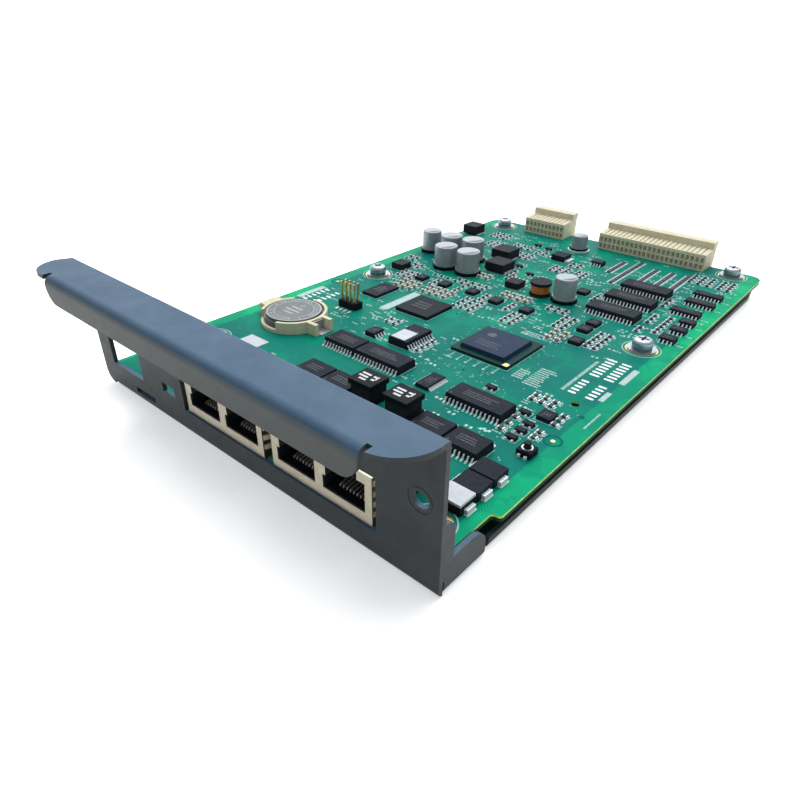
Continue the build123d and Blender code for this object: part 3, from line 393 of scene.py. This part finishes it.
def solids_in(node):
    """The box round each separate solid of a CAD node, in millimetres."""
    mesh = frame["nodes"][node].data
    group = {}

    def root(key):
        while group[key] != key:
            group[key] = group[group[key]]
            key = group[key]
        return key

    keys = [
        (round(v.co.x / MM, 3), round(v.co.y / MM - FRONT, 3), round(v.co.z / MM, 3))
        for v in mesh.vertices
    ]
    for key in keys:
        group[key] = key
    for face in mesh.polygons:
        first = root(keys[face.vertices[0]])
        for corner in face.vertices[1:]:
            group[root(keys[corner])] = first
    boxes = {}
    for key in group:
        low, high = boxes.setdefault(root(key), (list(key), list(key)))
        for axis in range(3):
            low[axis] = min(low[axis], key[axis])
            high[axis] = max(high[axis], key[axis])
    return sorted((tuple(low), tuple(high)) for low, high in boxes.values())


def middle_of(low, high):
    """The middle of a box, seen from above."""
    return (low[0] + high[0]) / 2, (low[1] + high[1]) / 2


def settle(piece, name, finish):
    """Gives a piece its name, finish and place on the module, with its place in its mesh."""
    bpy.ops.object.select_all(action="DESELECT")
    piece.select_set(True)
    bpy.context.view_layer.objects.active = piece
    bpy.ops.object.transform_apply(location=True, rotation=True, scale=True)
    piece.name = name
    piece.data.name = name
    piece.data.materials.clear()
    piece.data.materials.append(finish)
    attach(piece, "module")
    bpy.ops.object.select_all(action="DESELECT")


def join_all(pieces):
    bpy.ops.object.select_all(action="DESELECT")
    for piece in pieces:
        piece.select_set(True)
    bpy.context.view_layer.objects.active = pieces[0]
    bpy.ops.object.join()
    return bpy.context.view_layer.objects.active


def raise_flat(height):
    """Gives the flat shape in edit mode its height in metres and leaves edit mode."""
    bpy.ops.mesh.select_all(action="SELECT")
    bpy.ops.mesh.extrude_region_move(TRANSFORM_OT_translate={"value": (0, 0, height)})
    bpy.ops.mesh.select_all(action="SELECT")
    bpy.ops.mesh.normals_make_consistent(inside=False)
    bpy.ops.object.mode_set(mode="OBJECT")


def thin_plate(cut=0.12):
    """A plate of 1 mm each way, standing on zero, with cut corners."""
    bpy.ops.mesh.primitive_plane_add(size=MM)
    plate = bpy.context.active_object
    bpy.ops.object.mode_set(mode="EDIT")
    bpy.ops.mesh.select_all(action="SELECT")
    bpy.ops.mesh.bevel(offset=cut * MM, offset_type="OFFSET", segments=1, affect="VERTICES")
    raise_flat(MM)
    return plate


def thin_disc(sides=12):
    """A disc of 1 mm across and 1 mm high, standing on zero."""
    bpy.ops.mesh.primitive_circle_add(vertices=sides, radius=MM / 2, fill_type="NGON")
    disc = bpy.context.active_object
    bpy.ops.object.mode_set(mode="EDIT")
    raise_flat(MM)
    return disc


def laid_out(master, places):
    """Copies of one modelled piece at places of x, y, z, length, width, height and turn."""
    twins = []
    for x, y, z, length, width, height, turn in places:
        twin = master.copy()
        twin.data = master.data.copy()
        bpy.context.collection.objects.link(twin)
        place = Matrix.Translation(spot(x, y, z))
        turned = Matrix.Rotation(math.radians(turn), 4, "Z")
        twin.data.transform(place @ turned @ Matrix.Diagonal((length, width, height, 1)))
        twins.append(twin)
    bpy.data.objects.remove(master)
    return join_all(twins)


def ring(places, outer, inner, low, height):
    """Flat rings round the given places."""
    made = []
    for x, y in places:
        bpy.ops.mesh.primitive_circle_add(
            vertices=48, radius=outer * MM, location=spot(x, y, low))
        hoop = bpy.context.active_object
        bpy.ops.object.transform_apply(location=True)
        bpy.ops.object.mode_set(mode="EDIT")
        bpy.ops.mesh.select_all(action="SELECT")
        bpy.ops.mesh.extrude_edges_move()
        shrink = inner / outer
        bpy.ops.transform.resize(
            value=(shrink, shrink, 1), center_override=spot(x, y, low))
        raise_flat(height * MM)
        made.append(hoop)
    return join_all(made)


# Print on the board and the packages

SILK = 0.03             # thickness of the print
PLATING = 0.03          # thickness of a gold or tinned pad
MARK = 0.02             # thickness of a printed dot


def silk(x0, x1, y0, y1):
    """One printed field between two corners."""
    return ((x0 + x1) / 2, (y0 + y1) / 2, BOARD_TOP, x1 - x0, y1 - y0, SILK, 0)


def frame_lines(low, high, gap=0.5, line=0.16):
    """Four printed lines round a box."""
    x0, y0, x1, y1 = low[0] - gap, low[1] - gap, high[0] + gap, high[1] + gap
    return [
        silk(x0, x1, y0 - line, y0), silk(x0, x1, y1, y1 + line),
        silk(x0, x0 + line, y0, y1), silk(x1 - line, x1, y0, y1),
    ]


def print_marks(x0, x1, y0, y1, rows, sideways=False, z=BOARD_TOP):
    """Rows of short printed strokes that fill a field like small print."""
    stroke, space, shortest_row, row_fill = (0.25, 0.7), (0.12, 0.3), 0.7, 0.52
    made = []
    span, height = (x1 - x0, y1 - y0) if not sideways else (y1 - y0, x1 - x0)
    pitch = height / rows
    thick = pitch * row_fill
    for row in range(rows):
        start = 0.0
        end = span * chance.uniform(shortest_row, 1.0)
        while start < end:
            length = chance.uniform(*stroke)
            a, b = start + length / 2, (row + 0.5) * pitch
            if sideways:
                made.append((x0 + b, y0 + a, z, thick, length, SILK, 0))
            else:
                made.append((x0 + a, y0 + b, z, length, thick, SILK, 0))
            start += length + chance.uniform(*space)
    return made


# Pads: gold round the holes, tinned under leads and ends, and bare rows

screw_spots = [middle_of(*washer) for washer in solids_in("flat_washers")]
guide_spots = [(RIGHT - 10.0, 9.3), (LEFT + 10.6, 30.5)]
chips = solids_in("wide_chips") + solids_in("narrow_chips") + solids_in("fine_chip")


def hole_pads():
    pad_r, screw_hole_r, guide_hole_r = 5.0, 2.6, 3.2
    printed_r, printed_in = 6.0, 5.72
    at_screws = ring(screw_spots, pad_r, screw_hole_r, BOARD_TOP, PLATING)
    at_guides = ring(guide_spots, pad_r, guide_hole_r, BOARD_TOP, PLATING)
    settle(join_all([at_screws, at_guides]), "screw_pads", finishes["gold"])
    printed = ring(screw_spots + guide_spots, printed_r, printed_in, BOARD_TOP, SILK)
    settle(printed, "screw_rings", silk_white)


def package_at(x, y):
    """The package that a lead at this place belongs to: the nearest with the lead beside it."""
    lead_room, too_far = 2.2, 1e9

    def distance(box):
        low, high = box
        beside = (low[0] - lead_room < x < high[0] + lead_room
                  and low[1] - lead_room < y < high[1] + lead_room)
        middle_x, middle_y = middle_of(low, high)
        return abs(middle_x - x) + abs(middle_y - y) if beside else too_far

    return min(chips, key=distance)


def lead_pads():
    """A pad under each lead's foot, reaching outward from its package."""
    outward, pad_share, wider, deeper = 0.3, 0.75, 0.16, 0.12
    leads = solids_in("wide_chip_leads") + solids_in("narrow_chip_leads")
    pads = []
    for low, high in leads + solids_in("fine_chip_leads"):
        x, y = middle_of(low, high)
        wide, deep = high[0] - low[0], high[1] - low[1]
        package_x, package_y = middle_of(*package_at(x, y))
        if deep > wide:
            shift = deep * outward * (1 if y > package_y else -1)
            pads.append((x, y + shift, BOARD_TOP, wide + wider, deep * pad_share, PLATING, 0))
        else:
            shift = wide * outward * (1 if x > package_x else -1)
            pads.append((x + shift, y, BOARD_TOP, wide * pad_share, deep + deeper, PLATING, 0))
    return pads


def end_pads():
    """Pads under the ends of chip parts, transistor legs and the big diodes' tabs."""
    wider, deeper = 0.6, 0.4
    pads = []
    for low, high in solids_in("chip_ends") + solids_in("transistor_legs") + solids_in("end_tabs"):
        wide, deep = high[0] - low[0] + wider, high[1] - low[1] + deeper
        pads.append((*middle_of(low, high), BOARD_TOP, wide, deep, PLATING, 0))
    return pads


def bare_pads():
    """Rows of pads with no part on them, and the pads in front of the pin header."""
    pad_w, tin_height, header_x, header_y, header_pitch = 0.95, 0.06, LEFT + 26.2, 73.8, 2.0
    rows = [
        # x of the row, first y, count, pitch, pad length along x
        (RIGHT - 13.5, 89.5, 7, 2.0, 3.0), (RIGHT - 9.0, 89.5, 7, 2.0, 3.0),
        (RIGHT - 13.8, 76.5, 5, 2.0, 2.3), (RIGHT - 8.5, 76.5, 5, 2.0, 2.4),
        (LEFT + 8.1, 72.0, 6, 2.2, 2.2), (LEFT + 13.6, 72.0, 6, 2.2, 2.2),
    ]
    pads = []
    for x, first, count, pitch, length in rows:
        for i in range(count):
            pads.append((x, first + i * pitch, BOARD_TOP, length, pad_w, tin_height, 0))
    for i in range(4):
        x = header_x + (i - 1.5) * header_pitch
        pads.append((x, header_y, BOARD_TOP, 0.9, 1.6, 0.1, 0))
    return pads


hole_pads()
tin_places = lead_pads() + end_pads() + bare_pads()
settle(laid_out(thin_plate(), tin_places), "solder_pads", finishes["tinned"])


# Print round the parts and in the fields between them

def package_prints():
    """A line along both ends of each package, and a short print beside it."""
    near, far = 0.3, 0.5
    made = []
    for low, high in solids_in("wide_chips") + solids_in("narrow_chips"):
        if high[0] - low[0] > high[1] - low[1]:
            made.append(silk(low[0] - far, low[0] - near, low[1], high[1]))
            made.append(silk(high[0] + near, high[0] + far, low[1], high[1]))
        else:
            made.append(silk(low[0], high[0], low[1] - far, low[1] - near))
            made.append(silk(low[0], high[0], high[1] + near, high[1] + far))
        made += print_marks(high[0] + 0.9, high[0] + 3.0, low[1] - 0.2, low[1] + 1.0, 1)
    return made


def framed_prints():
    """A printed frame round each larger part, with a short print behind it."""
    framed = ("small_chips", "transistors", "chokes", "memory_chip", "flash_chip",
              "processor_base", "regulator")
    made = []
    for node in framed:
        for low, high in solids_in(node):
            made += frame_lines(low, high)
            made += print_marks(low[0], low[0] + 2.2, high[1] + 1.1, high[1] + 2.1, 1)
    return made


def small_part_prints():
    """A short print in front of or behind each chip part, and beside every second one."""
    made = []
    for low, high in solids_in("chip_parts") + solids_in("ceramic_parts"):
        y = low[1] - 0.8 if chance.random() < 0.5 else high[1] + 0.2
        made += print_marks(low[0] - 0.6, low[0] + 1.9, y, y + 0.8, 1)
        if chance.random() < 0.5:
            side_x = high[0] + 0.7
            made += print_marks(side_x, side_x + 0.7, low[1] - 0.4, high[1] + 0.4, 1, True)
    return made


def field_prints():
    """Printed bars, fields of small print and short lines in the open parts of the board."""
    bars = [
        (RIGHT - 6.2, RIGHT - 4.4, 89.6, 100.4), (RIGHT - 6.4, RIGHT - 4.9, 77.2, 83.0),
        (RIGHT - 93.6, RIGHT - 90.2, 84.2, 103.4), (LEFT + 3.8, LEFT + 6.2, 71.5, 84.5),
    ]
    fields = [
        # x from, x to, y from, y to, rows, rows along y
        (RIGHT - 27.0, RIGHT - 21.5, 71.5, 83.5, 10, False),
        (RIGHT - 31.5, RIGHT - 27.6, 73.0, 79.0, 5, False),
        (RIGHT - 17.5, RIGHT - 15.6, 76.0, 101.0, 1, True),
        (RIGHT - 44.5, RIGHT - 36.5, 99.5, 103.0, 3, False),
        (RIGHT - 3.2, RIGHT - 2.2, 62.0, 74.0, 1, True),
    ]
    lines = [(RIGHT - 34.0, 94.0), (RIGHT - 58.0, 82.0), (RIGHT - 56.0, 93.0), (RIGHT - 36.5, 76.0)]
    line_half, line_half_w = 1.2, 0.08
    made = [silk(*bar) for bar in bars]
    for field in fields:
        made += print_marks(*field)
    for x, y in lines:
        made.append(silk(x - line_half, x + line_half, y - line_half_w, y + line_half_w))
    return made


def free_spot_fill():
    """Bare pad pairs and short print that fill the free spots between the small parts."""
    on_board = []
    for node in frame["nodes"]:
        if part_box(node)[0].z / MM > BOARD_TOP - 0.2:
            on_board += solids_in(node)
    zones = [
        # x from, x to, y from, y to, how many
        (RIGHT - 118, RIGHT - 60, 100, 150, 190), (RIGHT - 62, RIGHT - 14, 100, 134, 110),
        (RIGHT - 110, RIGHT - 48, 150, 196, 150), (RIGHT - 50, RIGHT - 14, 134, 198, 110),
        (RIGHT - 26, RIGHT - 3, 140, 200, 90), (RIGHT - 24, RIGHT - 12, 44, 72, 36),
        (RIGHT - 92, RIGHT - 52, 62, 84, 60), (RIGHT - 122, RIGHT - 96, 66, 104, 40),
        (RIGHT - 58, RIGHT - 24, 41, 50, 14),
    ]
    clear_x, clear_y, pair_share, half_pitch = 1.5, 0.9, 0.55, 0.75
    pads, marks = [], []
    for x0, x1, y0, y1, count in zones:
        for _ in range(count):
            x, y = chance.uniform(x0, x1), chance.uniform(y0, y1)
            taken = any(
                low[0] - clear_x < x < high[0] + clear_x
                and low[1] - clear_y < y < high[1] + clear_y
                for low, high in on_board
            )
            if taken:
                continue
            if chance.random() < pair_share:
                for side in (-half_pitch, half_pitch):
                    pads.append((x + side, y, BOARD_TOP, 0.75, 1.0, 0.04, 0))
            else:
                marks += print_marks(x - 1.1, x + 1.1, y - 0.45, y + 0.45, 1)
    return pads, marks


def processor_lead_outs():
    """Printed lines in front of the processor, each with a small pad at its end."""
    count, length, gap = 6, 3.6, 0.6
    low, high = solids_in("processor_base")[0]
    pads, lines = [], []
    for i in range(count):
        x = low[0] + (i + 0.7) * (high[0] - low[0]) / (count + 0.4)
        lines.append((x, low[1] - gap - length / 2, BOARD_TOP, 0.22, length, SILK, 0))
        pads.append((x, low[1] - gap - length, BOARD_TOP, 0.8, 0.7, 0.04, 0))
    return pads, lines


prints = package_prints() + framed_prints() + small_part_prints() + field_prints()
spare_pads, spare_marks = free_spot_fill()
line_pads, lines = processor_lead_outs()
prints += spare_marks + lines
spare_pads += line_pads
settle(laid_out(thin_plate(0.04), prints), "board_print", silk_white)
pad_tin = plated("pad_tin", (0.26, 0.40, 0.36), (0.18, 0.32, 0.28), (0.35, 0.5), 1.0, 0.3)
settle(laid_out(thin_plate(0.08), spare_pads), "spare_pads", pad_tin)


# The fine pads along both sides of each resistor strip, and the round marks on the board

def strip_pads():
    side_x, first, rows = 1.15, 0.35, 5
    places = []
    for low, high in solids_in("resistor_networks"):
        pitch = (high[1] - low[1] - 2 * first) / (rows - 1)
        for side in (-side_x, side_x):
            x = (low[0] + high[0]) / 2 + side
            for i in range(rows):
                places.append((x, low[1] + first + i * pitch, BOARD_TOP, 0.95, 0.42, 0.05, 0))
    settle(laid_out(thin_plate(0.05), places), "strip_pads", finishes["tinned"])


def gauge_marks():
    """The two round marks that a placement machine looks for, and a dark spot near one."""
    ring_green = moulded(
        "ring_green", (0.0, 0.12, 0.085), (0.0, 0.10, 0.07), (0.5, 0.6), 1.5, 0.03)
    spots = [(RIGHT - 5.8, 52.0), (LEFT + 4.6, 92.0)]
    dots = [(x, y, BOARD_TOP, 1.1, 1.1, PLATING, 0) for x, y in spots]
    settle(laid_out(thin_disc(20), dots), "gauge_dots", finishes["gold"])
    settle(ring(spots, 2.5, 1.9, BOARD_TOP, MARK), "gauge_rings", ring_green)
    dark_spot = [(RIGHT - 5.6, 66.5, BOARD_TOP, 1.6, 1.6, MARK, 0)]
    settle(laid_out(thin_disc(24), dark_spot), "dark_spot", ring_green)


def processor_marks():
    """The gold corner of the base, and the round mark and the small print on the lid."""
    corner, inset = 1.9, 1.15
    base_low, base_high = solids_in("processor_base")[0]
    low, high = solids_in("processor_lid")[0]
    top = high[2]
    gold = (base_high[0] - inset, base_low[1] + inset, base_high[2], corner, corner, PLATING, 0)
    settle(laid_out(thin_plate(0.2), [gold]), "corner_mark", finishes["gold"])
    disc = (low[0] + 4.4, high[1] - 5.0, top, 3.0, 3.0, MARK, 0)
    settle(laid_out(thin_disc(28), [disc]), "lid_mark", mark_grey)
    rows = print_marks(low[0] + 3.0, high[0] - 3.2, low[1] + 3.0, low[1] + 7.2, 3, False, top)
    settle(laid_out(thin_plate(0.04), rows), "lid_lines", mark_grey)


def via_dots():
    """Small covered holes, strewn on the grid that such boards are drawn on."""
    grid, across = 0.635, 0.62
    zones = [
        # x from, x to, y from, y to, how many
        (RIGHT - 60, RIGHT - 28, 62, 108, 190), (RIGHT - 100, RIGHT - 60, 98, 140, 170),
        (RIGHT - 124, RIGHT - 90, 60, 140, 110), (RIGHT - 58, RIGHT - 12, 108, 200, 220),
        (RIGHT - 100, RIGHT - 60, 140, 200, 150), (RIGHT - 60, RIGHT - 6, 22, 70, 130),
    ]
    places = []
    for x0, x1, y0, y1, count in zones:
        for _ in range(count):
            x = round(chance.uniform(x0, x1) / grid) * grid
            y = round(chance.uniform(y0, y1) / grid) * grid
            places.append((x, y, BOARD_TOP, across, across, MARK, 0))
    via_tin = plated("via_tin", (0.01, 0.22, 0.16), (0.01, 0.18, 0.13), (0.35, 0.5), 1.0, 0.1)
    settle(laid_out(thin_disc(8), places), "vias", via_tin)


strip_pads()
gauge_marks()
processor_marks()
via_dots()


# Marks on the parts

def package_marks():
    """A dot at the first pin of each package, and rows of small print on the larger ones."""
    dot, print_from, roomy = 0.55, 3.5, 4.2
    dots, rows = [], []
    flat_chips = solids_in("memory_chip") + solids_in("flash_chip") + solids_in("small_chips")
    for low, high in chips + flat_chips:
        wide, deep, top = high[0] - low[0], high[1] - low[1], high[2]
        inset = 0.9 if min(wide, deep) > roomy else 0.75
        dots.append((low[0] + inset + 0.3, low[1] + inset + 0.1, top, dot, dot, MARK, 0))
        if min(wide, deep) > print_from:
            x0, x1 = low[0] + 0.22 * wide, high[0] - 0.2 * wide
            y0, y1 = low[1] + 0.3 * deep, high[1] - 0.3 * deep
            rows += print_marks(x0, x1, y0, y1, 3, wide < deep, top)
    settle(laid_out(thin_disc(16), dots), "pin_dots", mark_grey)
    settle(laid_out(thin_plate(0.04), rows), "chip_marks", mark_grey)


def coil_pack_print():
    """White bars on the pulse transformers' tops."""
    bars = [
        # from the middle along x and y, length, width
        (-1.6, 1.2, 3.4, 0.9), (-1.6, -0.2, 3.4, 0.9), (-0.8, -1.6, 2.6, 0.9),
        (1.6, 1.2, 1.6, 0.9), (1.8, -0.4, 1.2, 0.9), (2.4, 0.9, 0.5, 2.4),
    ]
    places = []
    for low, high in solids_in("coil_packs"):
        x, y = middle_of(low, high)
        for dx, dy, length, width in bars:
            places.append((x + dx, y + dy, high[2], length * 0.92, width * 0.8, SILK, 0))
    settle(laid_out(thin_plate(0.05), places), "coil_pack_print", print_white)


def rear_can_flange():
    """The pale round flange that the rear capacitor stands on."""
    margin, width, height = 0.9, 1.0, 0.5
    low, high = max(solids_in("capacitor_bases"), key=lambda box: box[0][1])
    outer = (high[0] - low[0]) / 2 + margin
    flange = ring([middle_of(low, high)], outer, outer - width, BOARD_TOP, height)
    settle(flange, "can_flange", print_white)


def cell_marks():
    """The coin cell's pressed rings, the strokes between them and the bars in the middle."""
    low, high = solids_in("coin_cell")[0]
    (x, y), top = middle_of(low, high), high[2]
    cell_shine = plated(
        "cell_shine", (0.30, 0.33, 0.33), (0.22, 0.25, 0.25), (0.35, 0.5), 1.0, 0.4)
    rim, inner = ring([(x, y)], 9.2, 8.7, top, 0.05), ring([(x, y)], 6.9, 6.6, top, 0.04)
    settle(join_all([rim, inner]), "cell_rings", cell_shine)
    strokes_r, steps, stroke_share, height = 7.8, 40, 0.7, 0.04
    places = []
    for i in range(steps):
        turn = i * 360 / steps
        angle = math.radians(turn)
        if chance.random() < stroke_share:
            stroke_x, stroke_y = x + strokes_r * math.cos(angle), y + strokes_r * math.sin(angle)
            width = chance.uniform(0.35, 0.75)
            places.append((stroke_x, stroke_y, top, 0.9, width, height, turn))
    bars = [
        # from the middle along y, length, width
        (1.5, 5.2, 0.9), (-0.6, 6.4, 0.9), (-2.6, 4.4, 0.8), (3.9, 0.5, 2.0), (3.9, 2.0, 0.5),
    ]
    for dy, length, width in bars:
        places.append((x, y + dy, top, length, width, height, 0))
    settle(laid_out(thin_plate(0.1), places), "cell_strokes", cell_shine)


def can_marks():
    """A dark half-moon printed at one side of each capacitor's top."""
    rim, cut_at = 0.95, 0.62
    moons = []
    for low, high in solids_in("capacitor_cans"):
        x, y = middle_of(low, high)
        radius = (high[0] - low[0]) / 2 - rim
        bpy.ops.mesh.primitive_circle_add(
            vertices=40, radius=radius * MM, fill_type="NGON", location=spot(x, y, high[2]))
        moon = bpy.context.active_object
        bpy.ops.object.transform_apply(location=True)
        bpy.ops.object.mode_set(mode="EDIT")
        bpy.ops.mesh.select_all(action="SELECT")
        bpy.ops.mesh.bisect(
            plane_co=spot(x + radius * cut_at, y, high[2]), plane_no=(-1, 0.6, 0),
            clear_outer=True, use_fill=False,
        )
        raise_flat(MARK * MM)
        moons.append(moon)
    can_shade = label_paper("can_shade", (0.13, 0.145, 0.16), (0.10, 0.115, 0.13))
    settle(join_all(moons), "can_marks", can_shade)


package_marks()
coil_pack_print()
rear_can_flange()
cell_marks()
can_marks()


# Stage, light and camera. Places and sizes are in metres, except the camera's place.

def white_ground(sheet, name, tone, rough, edge_tone_and_highlight):
    """Names a large sheet and paints it white with a faint glow."""
    sheet.name = name
    finish, _, shader = new_finish(name + "_white", (tone, tone, tone), rough)
    shader.inputs["Emission Color"].default_value = (1, 1, 1, 1)
    shader.inputs["Emission Strength"].default_value = edge_tone_and_highlight
    sheet.data.materials.append(finish)


CAMERA_AT = (112.108, -67.010, 94.916)
CAMERA_TURN = (58.5788, -0.4694, 41.3167)
GROUND = 30

bpy.ops.mesh.primitive_plane_add(size=GROUND, location=(0, 0, -0.0002))
white_ground(bpy.context.active_object, "floor", 0.92, 0.6, 0.42)

# a white screen far behind, so that the ground stays white up to the picture's edge
bpy.ops.mesh.primitive_plane_add(
    size=GROUND, location=(-9, 10.5, 0), rotation=(math.pi / 2, 0, math.radians(41.3)))
bpy.ops.object.transform_apply(location=True, rotation=True, scale=True)
white_ground(bpy.context.active_object, "screen", 0.9, 0.8, 0.8)


def studio_sky():
    """A pale sky that is darker at the horizon."""
    world = bpy.data.worlds.new("studio")
    bpy.context.scene.world = world
    world.use_nodes = True
    tree = world.node_tree
    way = tree.nodes.new("ShaderNodeTexCoord")
    split = tree.nodes.new("ShaderNodeSeparateXYZ")
    tree.links.new(way.outputs["Generated"], split.inputs["Vector"])
    tone = ramp(tree, split.outputs["Z"], (0.0, (0.3, 0.3, 0.3)), (0.75, (0.72, 0.74, 0.78)))
    tree.links.new(tone, tree.nodes["Background"].inputs["Color"])
    tree.nodes["Background"].inputs["Strength"].default_value = 1.0


def new_lamp(name, kind, energy):
    data = bpy.data.lights.new(name, kind)
    data.energy = energy
    lamp = bpy.data.objects.new(name, data)
    bpy.context.scene.collection.objects.link(lamp)
    return lamp


def studio_lights():
    """Wide soft light from the sky behind, and a small soft light over the board."""
    sky_light = new_lamp("sky_light", "SUN", 2.6)
    sky_light.data.angle = math.radians(75)
    sky_light.rotation_euler = Vector((-0.35, 0.55, 1.0)).to_track_quat("Z", "Y").to_euler()
    overhead = new_lamp("overhead_light", "AREA", 4.0)
    overhead.data.shape = "SQUARE"
    overhead.data.size = 0.5
    overhead.location = (-0.5, 0.7, 0.9)
    overhead.rotation_euler = (-overhead.location).to_track_quat("-Z", "Y").to_euler()


def photo_camera():
    data = bpy.data.cameras.new("camera")
    data.sensor_width = 36.0
    data.lens = 28.10
    data.clip_start = 0.005
    camera = bpy.data.objects.new("camera", data)
    bpy.context.scene.collection.objects.link(camera)
    camera.location = spot(*CAMERA_AT)
    camera.rotation_euler = [math.radians(angle) for angle in CAMERA_TURN]
    bpy.context.scene.camera = camera


studio_sky()
studio_lights()
photo_camera()
bpy.context.scene.view_settings.view_transform = "Standard"
